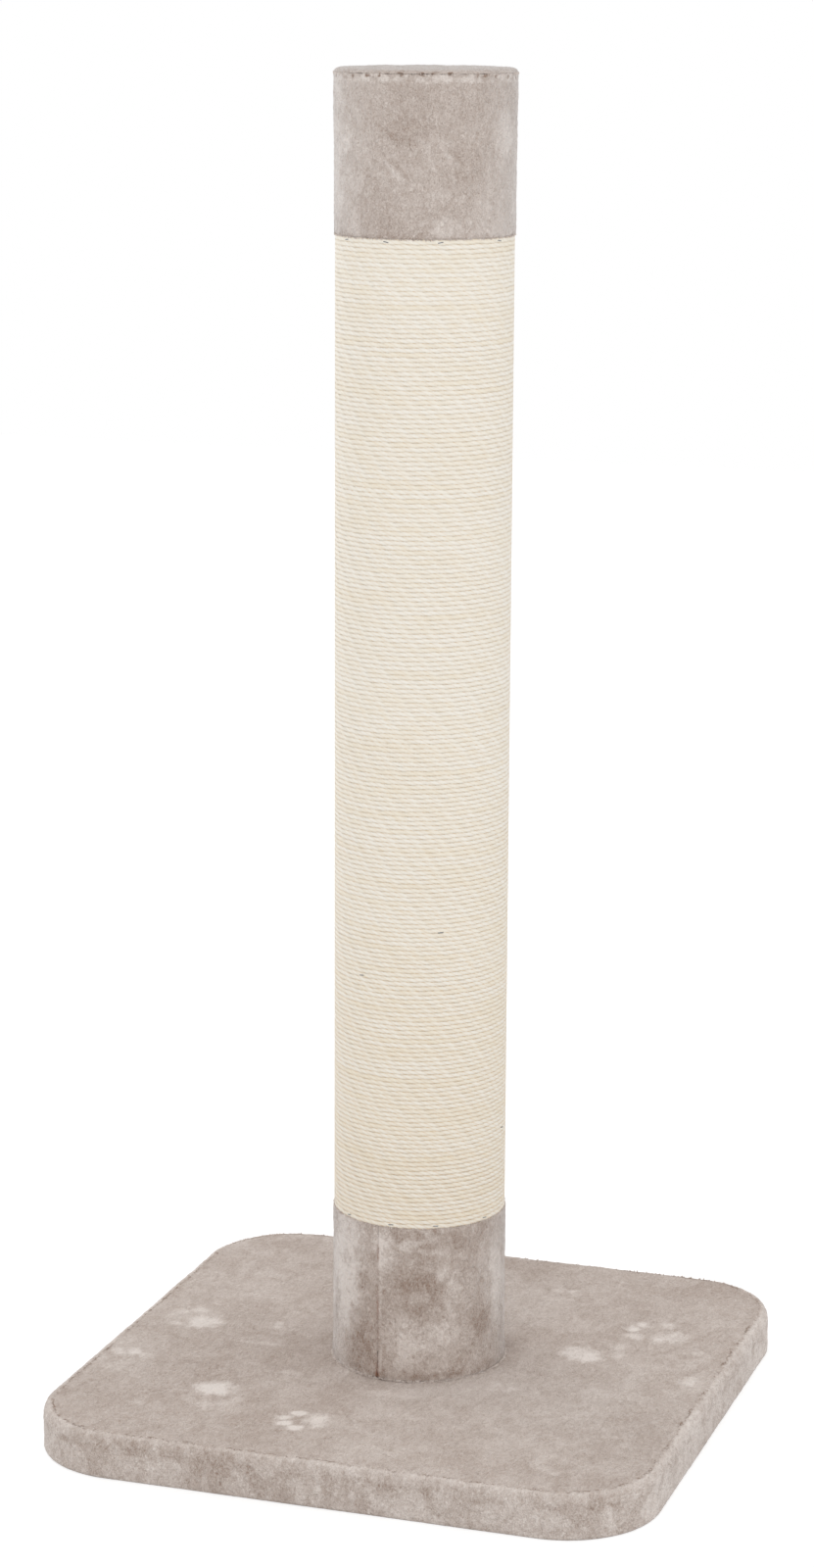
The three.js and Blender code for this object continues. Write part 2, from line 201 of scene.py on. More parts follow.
# %% Camera
CAMERA_PLACE = (1.0767, -3.2774, 1.3586)
CAMERA_TURN = 18.421
CAMERA_TILT = 77.791
CAMERA_ROLL = 0.275
LENS_MM = 85.44


def add_object(name, data):
    made = bpy.data.objects.new(name, data)
    bpy.context.scene.collection.objects.link(made)
    return made


camera = add_object("camera", bpy.data.cameras.new("camera"))
camera.data.lens = LENS_MM
turned = Matrix.Rotation(math.radians(CAMERA_TURN), 4, "Z")
tilted = Matrix.Rotation(math.radians(CAMERA_TILT), 4, "X")
rolled = Matrix.Rotation(math.radians(CAMERA_ROLL), 4, "Z")
camera.matrix_world = Matrix.Translation(CAMERA_PLACE) @ turned @ tilted @ rolled
bpy.context.scene.camera = camera
bpy.context.scene.view_settings.view_transform = "Standard"
print(f"camera {Vector(CAMERA_PLACE).length:.2f} m from the foot of the post")

# %% [markdown]
# The post stands in a white studio. The sky gives most of the light, evenly from all round, as big
# soft boxes and white walls do. One broad lamp at the front models the shapes a little, and two behind
# the post graze its sides, where plush lights up at its edge. What the camera sees directly is plain
# white, but the light on the post stays at a level where a colour comes out about as it is written.
# The floor is part lit and part glowing for the camera alone, so it is white too and still keeps a
# soft shadow round the base.

# %% Studio
SKY_LIGHT = 0.86
LAMPS = (
    ("front", (0.6, -3.6, 2.8), 2.4, 30),
    ("rim_right", (2.9, 0.9, 1.5), 1.6, 9),
    ("rim_left", (-2.6, 1.3, 1.5), 1.6, 16),
)
LAMP_AIM = (0, 0, 0.6)
FLOOR_SIZE = 14
FLOOR_WHITE = 0.82
FLOOR_GLOW = 0.62
FLOOR_PAINT = 0.5


def seen_directly(bench):
    """1 for rays that show the background: from the camera, or by way of gloss or glass."""
    path = bench.tree.nodes.new("ShaderNodeLightPath")
    kinds = ("Is Camera Ray", "Is Glossy Ray", "Is Transmission Ray")
    camera_ray, glossy, through = (Wire(bench, path.outputs[kind]) for kind in kinds)
    return bench.math("MINIMUM", camera_ray + glossy + through, 1.0)


def white_world():
    world = bpy.data.worlds.new("white_studio")
    world.use_nodes = True
    bench = Bench(world.node_tree)
    lit = bench.node("Background", Color=(1, 1, 1, 1), Strength=SKY_LIGHT)
    seen = bench.node("Background", Color=(1, 1, 1, 1), Strength=1.0)
    mixed = bench.node("MixShader", seen_directly(bench), lit, seen)
    bench.node("OutputWorld", Surface=mixed)
    bpy.context.scene.world = world


def lamp(name, place, size, watts):
    made = add_object(name, bpy.data.lights.new(name, "AREA"))
    made.data.size = size
    made.data.energy = watts
    made.location = place
    aim = Vector(LAMP_AIM) - Vector(place)
    made.rotation_euler = aim.to_track_quat("-Z", "Y").to_euler()


def new_material(name):
    made = bpy.data.materials.new(name)
    made.use_nodes = True
    return made, Bench(made.node_tree)


def floor():
    half = FLOOR_SIZE / 2
    corners = [(-half, -half, 0), (half, -half, 0), (half, half, 0), (-half, half, 0)]
    made = add_object("floor", bpy.data.meshes.new("floor"))
    made.data.from_pydata(corners, [], [(0, 1, 2, 3)])
    paint, bench = new_material("floor_white")
    white = bench.node("BsdfDiffuse", Color=(*[FLOOR_WHITE] * 3, 1))
    shaded = bench.node("BsdfDiffuse", Color=(*[FLOOR_PAINT] * 3, 1))
    glowing = bench.node("AddShader", shaded, bench.node("Emission", Strength=FLOOR_GLOW))
    mixed = bench.node("MixShader", seen_directly(bench), white, glowing)
    bench.node("OutputMaterial", Surface=mixed)
    made.data.materials.append(paint)


white_world()
for settings in LAMPS:
    lamp(*settings)
floor()
print("studio lit")

# %% [markdown]
# ## Plush
# The fabric is a short, dense pile that shows its tips where it lies towards you and its darker roots where
# it is swept away, so one colour of yarn reads as cool light patches and warm dark ones. The material builds
# that from noise at four sizes: single curls, tufts of them, the patches that hands brush into the pile, and
# a slow drift. All of it is drawn out along the nap. Spots that are stored on the mesh as
# `brushed_and_painted_light` come out lighter or darker: pile that hands have swept, painted highlight near
# the post's edges, and painted shade in pits, at the roots of tufts and just above the foot. `glued` ones
# show the glue that has soaked in.

# %% Plush material
PLUSH_DARK = rgb(146, 123, 108)
PLUSH_LIGHT = rgb(229, 219, 212)
GLUE_BROWN = rgb(138, 94, 70)
PILE_CURL = 1.9 * MM
PILE_TUFT = 5.5 * MM
BRUSHED_PATCH = 32 * MM
SLOW_DRIFT = 130 * MM
COVER_CORNER = 92 * MM


def finish_surface(bench, colour, roughness, height, depth, normal=None, **constants):
    """Joins a colour, a roughness and a height to one shader. A height of 1 stands `depth` high."""
    beneath = {"Normal": normal} if normal else {}
    bump = bench.node("Bump", Strength=1.0, Distance=depth, Height=height, **beneath)
    surface = {"Base_Color": colour, "Roughness": roughness, "Normal": bump, **constants}
    bench.node("OutputMaterial", Surface=bench.node("BsdfPrincipled", **surface))


def parted_edge(bench, place):
    """The base's upper edge, where the pile of the top and of the side part: the dark line between them,
    broken here and there, which is painted shade in the crack, the light ridge of standing pile beside it,
    and below that darker patches of painted shade, where the pile of the side starts."""
    x, y, z = bench.split(place)
    side = BASE_HALF - COVER_CORNER
    past = [bench.math("MAXIMUM", abs(v) - side, 0.0) for v in (x, y)]
    inset = COVER_CORNER - bench.length(bench.joined(*past))
    inset = inset + (bench.noise(place, 7 * MM, detail=4, roughness=0.75) - 0.5) * (11 * MM)
    upper = bench.smooth(z, BASE_TOP - 7 * MM, BASE_TOP - 4 * MM)
    broken = bench.smooth(bench.noise(place, 16 * MM, detail=4, roughness=0.7), 0.46, 0.6)
    # The dark crack between the two piles is painted shade.
    line = bench.band(inset, 9 * MM, 1.6 * MM) * upper * broken
    ridge = bench.band(inset, 5 * MM, 5 * MM) * upper
    patchy = bench.smooth(bench.noise(place, 30 * MM, detail=3, roughness=0.7), 0.42, 0.6)
    # Patches of painted shade below the ridge.
    shade = bench.band(z, BASE_TOP - 13 * MM, 7 * MM) * patchy
    return line + shade * 0.33, ridge


def plush(name, middle, patches, tufts, curls, nap, streak, sheen, edge=False):
    """Plush whose tone lies at `middle` between dark and light. `patches` says how strongly hands have swept
    it about, on level faces and on upright ones, `tufts` and `curls` how much its clumps and its single curls
    show. `nap` and `streak` draw them out along the axes."""
    material, bench = new_material(name)
    place = bench.place()
    lie = bench.scaled(place, nap)
    curl = bench.noise(lie, PILE_CURL, detail=2, roughness=0.6, distortion=1.6)
    tuft = bench.noise(lie, PILE_TUFT, detail=3, roughness=0.7, distortion=1.2)
    swept = bench.scaled(place, streak)
    hand = bench.noise(swept, BRUSHED_PATCH, detail=4, roughness=0.6, distortion=1.0)
    patch = bench.smooth(hand, 0.38, 0.62) - 0.5
    drift = bench.noise(place, SLOW_DRIFT, detail=1) - 0.5
    facing = bench.split(bench.node("NewGeometry", out="Normal"))
    level = abs(facing[2])
    on_level, on_upright = patches
    tone = middle + drift * 0.4 + patch * (on_upright + level * (on_level - on_upright))
    tone = tone + (tuft - 0.5) * (tufts * (1 - level * 0.35))
    tone = tone + (curl - 0.5) * (curls * (1.5 - level * 0.5))
    # The mesh's brushed_and_painted_light: pile swept by hands, with painted highlight and painted shade.
    tone = tone + bench.attribute("brushed_and_painted_light") * (0.5 + tuft)
    height = curl + tuft * 1.5
    if edge:
        line, ridge = parted_edge(bench, place)
        # On the base the crack and the patches below the ridge come in as painted shade, and upright faces
        # are painted lighter as painted light.
        tone = tone + ridge * 0.24 - line * 0.6 + (1 - level) * 0.12
        # The +X side is painted lighter still: painted light, as from a lamp on that side.
        tone = tone + bench.math("MAXIMUM", facing[0], 0.0) * 0.12
        height = height - line * 0.4
    tone = bench.clamp(tone)
    colour = bench.blend(tone, PLUSH_DARK, PLUSH_LIGHT)
    colour = bench.blend(bench.attribute("glued") * (0.5 + tuft), colour, GLUE_BROWN)
    gloss = {"Sheen_Weight": sheen, "Sheen_Roughness": 0.3}
    finish_surface(bench, colour, 0.95 - tone * 0.08, height, 1.1 * MM, **gloss)
    return material


def standing_pile():
    """Single tufts that stand out of line: no relief of their own, only painted shade at their roots and
    painted light at their tips.
    """
    material, bench = new_material("standing_pile")
    place = bench.place()
    tone = 0.58 + bench.attribute("brushed_and_painted_light") + (bench.noise(place, PILE_TUFT, detail=2) - 0.5) * 1.2
    tone = bench.clamp(tone)
    colour = bench.blend(tone, PLUSH_DARK, PLUSH_LIGHT)
    finish_surface(bench, colour, 0.95 - tone * 0.08, tone, 0.0, Sheen_Weight=0.1)
    return material


plush_on_base = plush("plush_on_base", 0.45, (0.14, 0.22), 0.9, 0.95, (1, 0.5, 0.8), (1, 0.7, 0.6), 0.3, True)
plush_on_foot = plush("plush_on_foot", 0.50, (0.2, 0.2), 0.9, 0.85, (1, 1, 0.8), (1, 1, 0.8), 0.9)
plush_on_head = plush("plush_on_head", 0.57, (0.1, 0.1), 0.5, 0.95, (1, 1, 0.8), (1, 1, 0.7), 0.9)
plush_tips = standing_pile()
print("plush mixed")

# %% [markdown]
# The pile also has a shape: seen from the side its edge is soft and a little lumpy. A small
# Geometry Nodes tree pushes a finished cloth shell in and out along its own normals, by fine clumps
# and by slower swells, and only where the mesh says that there is pile.

# %% A tree for every repeat
SOCKETS = {float: "Float", int: "Int"}
SMALLEST_WAVE = 0.0001


def geometry_tree(name, inputs):
    """A Geometry Nodes tree with these named inputs, its bench and a wire from each input."""
    tree = bpy.data.node_groups.new(name, "GeometryNodeTree")

    def socket(label, kind, in_out="INPUT"):
        return tree.interface.new_socket(label, in_out=in_out, socket_type="NodeSocket" + kind)

    socket("Geometry", "Geometry", "OUTPUT")
    socket("Geometry", "Geometry")
    for label, value in inputs.items():
        socket(label, SOCKETS[type(value)]).default_value = value
    socket("Material", "Material")
    bench = Bench(tree)
    entry = tree.nodes.new("NodeGroupInput")
    return bench, {end.name: Wire(bench, end) for end in entry.outputs}


def named(bench, name, data_type="FLOAT"):
    """What a mesh holds under a name."""
    return bench.node("InputNamedAttribute", data_type=data_type, Name=name)


def stored(bench, geometry, name, value, data_type="FLOAT", domain="POINT"):
    kinds = {"data_type": data_type, "domain": domain}
    return bench.node("StoreNamedAttribute", geometry, Name=name, Value=value, **kinds)


def close_tree(bench, geometry, material):
    """Ends a tree with real, shaded and painted geometry."""
    real = bench.node("RealizeInstances", geometry)
    shaded = bench.node("SetShadeSmooth", real, Shade_Smooth=True)
    bench.node("GroupOutput", Geometry=bench.node("SetMaterial", shaded, Material=material))
    return bench


def grown(bench, base, name, values):
    """What a tree makes of an object, as a plain mesh object that takes the other's place."""
    modifier = base.modifiers.new(name, "NODES")
    modifier.node_group = bench.tree
    for socket in bench.tree.interface.items_tree:
        if socket.in_out == "INPUT" and socket.name in values:
            modifier[socket.identifier] = values[socket.name]
    bpy.context.view_layer.update()
    evaluated = base.evaluated_get(bpy.context.evaluated_depsgraph_get())
    made = add_object(name, bpy.data.meshes.new_from_object(evaluated))
    bpy.data.objects.remove(base)
    return made


def pile_tree():
    inputs = {"Clump": 1.0, "Clump Height": 0.0, "Swell": 1.0, "Swell Height": 0.0}
    bench, entry = geometry_tree("pile", inputs)
    place = bench.node("InputPosition")

    def wave(name):
        size = bench.math("MAXIMUM", entry[name], SMALLEST_WAVE)
        return (bench.noise(place, size, detail=1.0) - 0.5) * entry[name + " Height"]

    height = (wave("Clump") + wave("Swell")) * named(bench, "pile")
    push = bench.vector("SCALE", bench.node("InputNormal"), Scale=height)
    moved = bench.node("SetPosition", entry["Geometry"], Offset=push)
    return close_tree(bench, moved, entry["Material"])


pile_bench = pile_tree()
print("pile tree ready")

# %% [markdown]
# Every cloth piece here is a closed shell that is built row by row: fine rows where the pile shows,
# and rows with eight times fewer points inside, joined to them by fans. A ring is filled in by smaller
# and smaller copies of itself, which keeps the squares of the mesh even over the whole top and leaves
# no pole where hundreds of slivers meet.

# %% A shell of cloth
FINE_TO_COARSE = 8


def keep(mesh, name, values):
    """Keeps one number for each point of a mesh under a name."""
    mesh.attributes.new(name, "FLOAT", "POINT").data.foreach_set("value", values)


class Shell:
    """A closed mesh that grows by rows of points. `pile` says how much of the pile's shape each
    point takes on."""

    def __init__(self):
        self.points = []
        self.pile = []
        self.faces = []

    def row(self, across, along, height, pile=0.0):
        first = len(self.points)
        heights = np.broadcast_to(height, np.shape(across))
        self.points.extend(zip(across, along, heights))
        self.pile.extend([pile] * len(across))
        return list(range(first, len(self.points)))

    def bands(self, rows):
        for one, other in zip(rows, rows[1:]):
            self.faces.extend(zip(one, one[1:], other[1:], other))

    def fan(self, fine, coarse):
        half = FINE_TO_COARSE // 2
        for i, (a, b) in enumerate(zip(coarse, coarse[1:])):
            stretch = fine[i * FINE_TO_COARSE : (i + 1) * FINE_TO_COARSE + 1]
            for j, (c, d) in enumerate(zip(stretch, stretch[1:])):
                self.faces.append((c, d, a if j < half else b))
            self.faces.append((stretch[half], b, a))

    def fill(self, rim, outline, height, pile=0.0):
        """Fills a ring of 8 × n points. `outline` gives points for shares of the way round, and
        `height` the height at a share of the way out."""
        count = len(rim) // 8
        outer = rim
        for k in range(count - 1, 0, -1):
            across, along = outline(np.arange(8 * k) / (8 * k))
            inner = self.row(across * k / count, along * k / count, height(k / count), pile)
            self.step_in(outer, inner)
            outer = inner
        self.step_in(outer, self.row([0.0], [0.0], height(0.0), pile))

    def step_in(self, outer, inner):
        """Joins a ring to the next smaller one, which has eight points fewer."""
        k = len(outer) // 8
        for side in range(4):
            out_at = lambda j: outer[(2 * k * side + j) % len(outer)]
            in_at = lambda j: inner[(2 * (k - 1) * side + j) % len(inner)]
            for j in range(1 - k, k - 1):
                self.faces.append((out_at(j), out_at(j + 1), in_at(j + 1), in_at(j)))
            self.faces.append((out_at(-k), out_at(1 - k), in_at(1 - k), out_at(-k - 1)))

    def piece(self, name):
        """The finished shell as an object, with every face turned outwards."""
        mesh = bpy.data.meshes.new(name)
        mesh.from_pydata([tuple(map(float, p)) for p in self.points], [], self.faces)
        keep(mesh, "pile", self.pile)
        work = bmesh.new()
        work.from_mesh(mesh)
        bmesh.ops.recalc_face_normals(work, faces=work.faces)
        work.to_mesh(mesh)
        work.free()
        return add_object(name, mesh)


def rounded_square(half, corner):
    """An outline: points on a rounded square at shares of the way round from the middle of its
    +X side. With a corner radius as large as the half side it is a circle."""
    side = half - corner
    eighth = side + corner * math.pi / 4

    def points(shares):
        quarter = np.floor(shares * 4 + 0.5)
        along = (shares * 4 - quarter) * 2 * eighth
        past = np.maximum(np.abs(along) - side, 0) / corner
        x = side + corner * np.cos(past)
        y = np.sign(along) * (np.minimum(np.abs(along), side) + corner * np.sin(past))
        turn = quarter * math.pi / 2
        return x * np.cos(turn) - y * np.sin(turn), x * np.sin(turn) + y * np.cos(turn)

    return points


def bend(inset, height, radius, start, stop, count):
    """Points of a rounded edge as (inset, height), about a centre, by angles from straight up."""
    angles = np.radians(np.linspace(start, stop, count))
    return [(inset - radius * math.sin(a), height + radius * math.cos(a)) for a in angles]


def straight(start, stop, step):
    """Points from start to stop, both left out, about a step apart."""
    count = max(1, round(math.dist(start, stop) / step))
    return [tuple(np.add(start, np.subtract(stop, start) * i / count)) for i in range(1, count)]


def slab(name, half, corner, steps, top_at, fine, coarse):
    """A cloth slab with its top filled in, then fine rings over its edge and coarse rings inside.
    Rings are (inset, height) from the outline, and `steps` counts squares from middle to edge."""
    shell = Shell()
    outline = lambda inset: rounded_square(half - inset, corner - inset)

    def ring(inset, height, count, furry):
        points = shell.row(*outline(inset)(np.arange(count) / count), height, furry)
        return points + points[:1]

    rings = [ring(*spot, 8 * steps, 1.0) for spot in fine]
    shell.fill(rings[0][:-1], outline(fine[0][0]), top_at, 1.0)
    shell.bands(rings)
    inner = [ring(*spot, steps * 8 // FINE_TO_COARSE, 0.0) for spot in coarse]
    shell.fan(rings[-1], inner[0])
    shell.bands(inner)
    inset, height = coarse[-1]
    shell.fill(inner[-1][:-1], outline(inset), lambda share: height)
    return shell.piece(name)


def settle(piece, node, fringes=()):
    """Hides the node of the frame that a cloth piece stands for, and hangs the piece and its fringes on the
    body.
    """
    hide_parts(node)
    for each in (piece, *fringes):
        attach(each, BODY)
        print(f"{each.name}: {len(each.data.polygons)} faces")


# %% [markdown]
# Wherever two pieces of plush meet, or the pile of one parts over an edge, single tufts stand out of line. A
# tuft is a small five-sided cone, and one tree plants a row of them along a line, each with its own size and
# lean. The line carries its main lean as `lean`; each tuft gets painted shade at its root and painted light
# at its tip.

# %% A tree for tufts
TUFT_SIDES = 5
TUFT_SIZES = (0.5, 1.25)
TUFT_TIP = 0.26
ROOT_SHADE = -0.12
TIP_LIGHT = 0.2


def drawn(bench, low, high, seed):
    """A random number for each point."""
    return bench.node("RandomValue", data_type="FLOAT", at={2: low, 3: high}, Seed=seed, out=1)


def tuft_tree():
    inputs = {"Count": 1, "Length": 1.0, "Width": 1.0, "Scatter": 0.7, "Seed": 0}
    bench, entry = geometry_tree("tufts", inputs)
    line = bench.node("MeshToCurve", entry["Geometry"])
    spots = bench.node("CurveToPoints", line, mode="COUNT", Count=entry["Count"])
    width, length = entry["Width"], entry["Length"]
    seed = entry["Seed"] * 10

    def scattered(draw, reach):
        limits = {0: (-1, -1, -1), 1: (1, 1, 1)}
        strays = bench.node("RandomValue", data_type="FLOAT_VECTOR", at=limits, Seed=seed + draw)
        return bench.vector("SCALE", strays, Scale=reach)

    spots = bench.node("SetPosition", spots, Offset=scattered(1.0, length * 0.35))
    aim = bench.vector("ADD", named(bench, "lean", "FLOAT_VECTOR"), scattered(2.0, entry["Scatter"]))
    turn = bench.node("AlignRotationToVector", axis="Z", Vector=aim)
    size = drawn(bench, *TUFT_SIZES, seed + 3.0)
    shape = {"Radius_Top": width * TUFT_TIP, "Radius_Bottom": width * 0.5, "Depth": length}
    cone = bench.node("MeshCone", Vertices=TUFT_SIDES, **shape)
    height = bench.split(bench.node("InputPosition"))[2] / length
    # Painted shade at the root of a tuft, fading into painted light at its tip.
    cone = stored(bench, cone, "brushed_and_painted_light", ROOT_SHADE + height * (TIP_LIGHT - ROOT_SHADE))
    planted = bench.node("InstanceOnPoints", spots, Instance=cone, Rotation=turn, Scale=size)
    return close_tree(bench, planted, entry["Material"])


tuft_bench = tuft_tree()
FRINGE_POINTS = 256


def fringe(name, outline, height, lean, values):
    """A row of tufts along an outline at a height. `lean` is how far they lean outwards and up."""
    count = FRINGE_POINTS
    x, y = outline(np.arange(count) / count)
    outward = np.stack([np.roll(y, -1) - np.roll(y, 1), np.roll(x, 1) - np.roll(x, -1)], axis=1)
    outward /= np.linalg.norm(outward, axis=1)[:, None]
    leans = np.column_stack([outward * lean[0], np.full(count, lean[1])])
    mesh = bpy.data.meshes.new(name)
    mesh.from_pydata([(*p, height) for p in zip(x, y)], [(i, (i + 1) % count) for i in range(count)], [])
    mesh.attributes.new("lean", "FLOAT_VECTOR", "POINT").data.foreach_set("vector", leans.ravel())
    values = {**values, "Material": plush_tips}
    return grown(tuft_bench, add_object(name + "_line", mesh), name, values)


print("tuft tree ready")

# %% [markdown]
# ## The base
# One piece of plush is pulled over the board, down its sides and turned under, where it lies flat.
# The edge is where such a cover shows how it was made: the pile of the top and the pile of the side
# part there, so a soft ridge of standing pile runs all the way round. The foot of the tube crushes
# the pile it stands on, so the cover dips there.

# %% Base cover
COVER_THICKNESS = BASE_TOP - board_high.z - 0.3 * MM
COVER_EDGE_RADIUS = 9.3 * MM
UNDER_EDGE_RADIUS = 2.4 * MM
FOLD_TOP = board_low.z - 0.3 * MM
FOLD_INSET = BASE_HALF - board_high.x + 32 * MM
CREASE_RISE = 0.7 * MM
SEAT_DEPTH = 3.2 * MM
COVER_STEPS = 128
FOLD_STEP = 5 * MM


def creased_edge(count):
    """The rounded upper edge, from the top to the side, with the ridge of pile that stands on it."""
    angles = np.linspace(0, 90, count)
    reach = COVER_EDGE_RADIUS + CREASE_RISE * np.exp(-(((angles - 38) / 16) ** 2))
    insets = COVER_EDGE_RADIUS - reach * np.sin(np.radians(angles))
    heights = BASE_TOP - COVER_EDGE_RADIUS + reach * np.cos(np.radians(angles))
    return list(zip(insets, heights))


def base_cover():
    side_top = (0, BASE_TOP - COVER_EDGE_RADIUS)
    side_bottom = (0, UNDER_EDGE_RADIUS)
    under = bend(UNDER_EDGE_RADIUS, UNDER_EDGE_RADIUS, UNDER_EDGE_RADIUS, 90, 180, 4)
    fold = straight(under[-1], (FOLD_INSET, 0), FOLD_STEP)
    fine = [*creased_edge(9), *straight(side_top, side_bottom, 2.3 * MM), *under, *fold, (FOLD_INSET, 0)]
    wall = COVER_THICKNESS
    inner_top = board_high.z + 0.3 * MM
    inner_edge = bend(wall + 5 * MM, inner_top - 5 * MM, 5 * MM, 90, 0, 4)
    coarse = [(FOLD_INSET, FOLD_TOP), (wall, FOLD_TOP), *inner_edge]
    made = slab("base_shell", BASE_HALF, COVER_CORNER, COVER_STEPS, lambda share: BASE_TOP, fine, coarse)
    press_pile(made.data)
    return made


def press_pile(mesh):
    """Sinks the pile below the foot of the tube, and keeps it flat where it lies on the floor."""
    reach = (TUBE_RADIUS, TUBE_RADIUS + 3 * MM)
    for vertex in mesh.vertices:
        out = math.hypot(vertex.co.x, vertex.co.y)
        if out < reach[1] and vertex.co.z > BASE_TOP - MM:
            share = min(1.0, (reach[1] - out) / (reach[1] - reach[0]))
            vertex.co.z -= SEAT_DEPTH * share
            mesh.attributes["pile"].data[vertex.index].value = 1 - share
        if vertex.co.z < UNDER_EDGE_RADIUS:
            mesh.attributes["pile"].data[vertex.index].value *= max(0.0, vertex.co.z) / UNDER_EDGE_RADIUS


cover = base_cover()
print("base cover laid")

# %% [markdown]
# Paw prints are pressed into the pile of the top, a common motif on such fabric. They show only as pile that
# lies the other way, so they are soft, pale and worn in places. Each is a pad and four toes, worked out from
# its place, its turn and its size, and kept on the mesh as `brushed_and_painted_light`. The last two numbers
# say how well its pad and its toes still show. Plain wipes of a hand lie between them.

# %% Paw prints on the base
PAW_TOES = ((-0.82, 0.55), (-0.30, 1.12), (0.34, 1.12), (0.84, 0.52))
PAW_PRINTS = (
    (-0.150, -0.166, 200, 0.028, 0.90, 0.22),
    (-0.040, -0.205, 105, 0.021, 0.60, 0.85),
    (-0.262, -0.120, 20, 0.025, 0.28, 0.40),
    (-0.236, 0.012, 75, 0.026, 0.75, 0.30),
    (-0.142, 0.028, 150, 0.014, 0.10, 0.40),
    (0.158, 0.052, 330, 0.029, 0.95, 0.20),
    (0.214, 0.120, 60, 0.027, 0.45, 0.55),
    (0.262, 0.062, 20, 0.020, 0.50, 0.18),
    (0.268, 0.000, 170, 0.020, 0.42, 0.20),
    (0.100, -0.060, 240, 0.014, 0.30, 0.25),
    (0.084, 0.195, 310, 0.018, 0.15, 0.28),
    (-0.120, 0.235, 15, 0.028, 0.55, 0.36),
    (0.215, -0.225, 120, 0.022, 0.12, 0.22),
)
WIPES = (
    (-0.155, -0.030, 0.030, 0.006, 0.22),
    (-0.098, -0.095, 0.014, 0.008, 0.20),
    (0.004, -0.118, 0.034, 0.009, 0.22),
    (-0.210, -0.215, 0.012, 0.006, 0.22),
    (0.215, -0.045, 0.030, 0.014, 0.16),
    (-0.215, 0.160, 0.036, 0.012, 0.18),
    (0.020, 0.215, 0.030, 0.010, 0.18),
)
PAD_SIZE = (0.78, 0.60)
TOE_SIZE = 0.30


def paw_strength(x, y):
    """How strongly the prints and wipes near it have swept a point of the top."""
    ragged = 0.32 * noise.noise(Vector((x, y, 0)) / (8 * MM))
    worn = 0.75 + 0.8 * noise.noise(Vector((x, y, 1)) / (26 * MM))
    shown = lambda out: min(1.0, max(0.0, (1.3 + ragged - out) / 0.85))
    most = 0.0
    for px, py, turn, size, pad_shows, toes_show in PAW_PRINTS:
        if math.hypot(x - px, y - py) > 2 * size:
            continue
        cos, sin = math.cos(math.radians(turn)), math.sin(math.radians(turn))
        u = ((x - px) * cos + (y - py) * sin) / size
        v = ((y - py) * cos - (x - px) * sin) / size
        pad = math.hypot(u / PAD_SIZE[0], (v + 0.35) / PAD_SIZE[1])
        toe = min(math.hypot(u - tu, (v - tv) * 0.8) / TOE_SIZE for tu, tv in PAW_TOES)
        most = max(most, pad_shows * shown(pad), toes_show * shown(toe))
    for px, py, half_width, half_depth, strength in WIPES:
        out = math.hypot((x - px) / half_width, (y - py) / half_depth)
        most = max(most, strength * shown(out * 1.2 + ragged))
    return most * worn


def press_paws(mesh):
    values = [paw_strength(v.co.x, v.co.y) if v.co.z > BASE_TOP - 2 * MM else 0.0 for v in mesh.vertices]
    keep(mesh, "brushed_and_painted_light", values)


press_paws(cover.data)
COVER_PILE = {"Clump": 5.5 * MM, "Clump Height": 1.6 * MM, "Swell": 45 * MM, "Swell Height": 1.6 * MM}
cover = grown(pile_bench, cover, "base_cover", {**COVER_PILE, "Material": plush_on_base})
edge_line = rounded_square(BASE_HALF - 8 * MM, COVER_CORNER - 8 * MM)
edge_values = {"Count": 1500, "Length": 2.0 * MM, "Width": 1.4 * MM, "Seed": 1}
edge_tufts = fringe("base_edge_tufts", edge_line, BASE_TOP - 0.8 * MM, (0.8, 0.4), edge_values)
settle(cover, "base_plush_cover", fringes=[edge_tufts])

# %% [markdown]
# ## Sleeves on the post
# A sleeve is a strip of plush glued round the tube, with its two ends butted together. The butt
# never closes quite evenly: it opens a little at the top and at the foot, where the glue shows brown,
# and the pile rolls into it. The strip's cut edges are rolled too, and the pile stands out a little
# where it meets the base or the disc on top.

# %% Sleeves
SLEEVE_COLUMNS = 432
LIP_STEPS = np.array([0.0, 0.3, 0.75, 1.3, 2.0]) * MM
LIP_ROUND = 2.0 * MM
LIP_RIDGE = 0.5 * MM
ROW_STEP = 1.25 * MM
SLEEVE_EDGE = 2.2 * MM
SLEEVE_INNER = TUBE_RADIUS + 0.3 * MM
LOWER_SEAM = -100
UPPER_SEAM = -165


def seam_shape(share, height, open_top, open_foot):
    """At a share of the way up: half the width of the butt, how deep its lips roll in, and how far
    it wanders to one side."""
    foot = max(0.0, 1 - share / 0.25) ** 2
    top = max(0.0, (share - 0.75) / 0.25) ** 2
    uneven = 0.5 + noise.noise(Vector((0, 0, height)) / (11 * MM))
    opening = 0.03 * MM * uneven + open_foot * foot + open_top * top
    depth = 0.02 + 0.2 * max(0.0, uneven - 0.5) + 0.3 * foot + 0.3 * top
    wander = 1.6 * MM * noise.noise(Vector((3, 0, height)) / (38 * MM))
    return opening, depth, wander


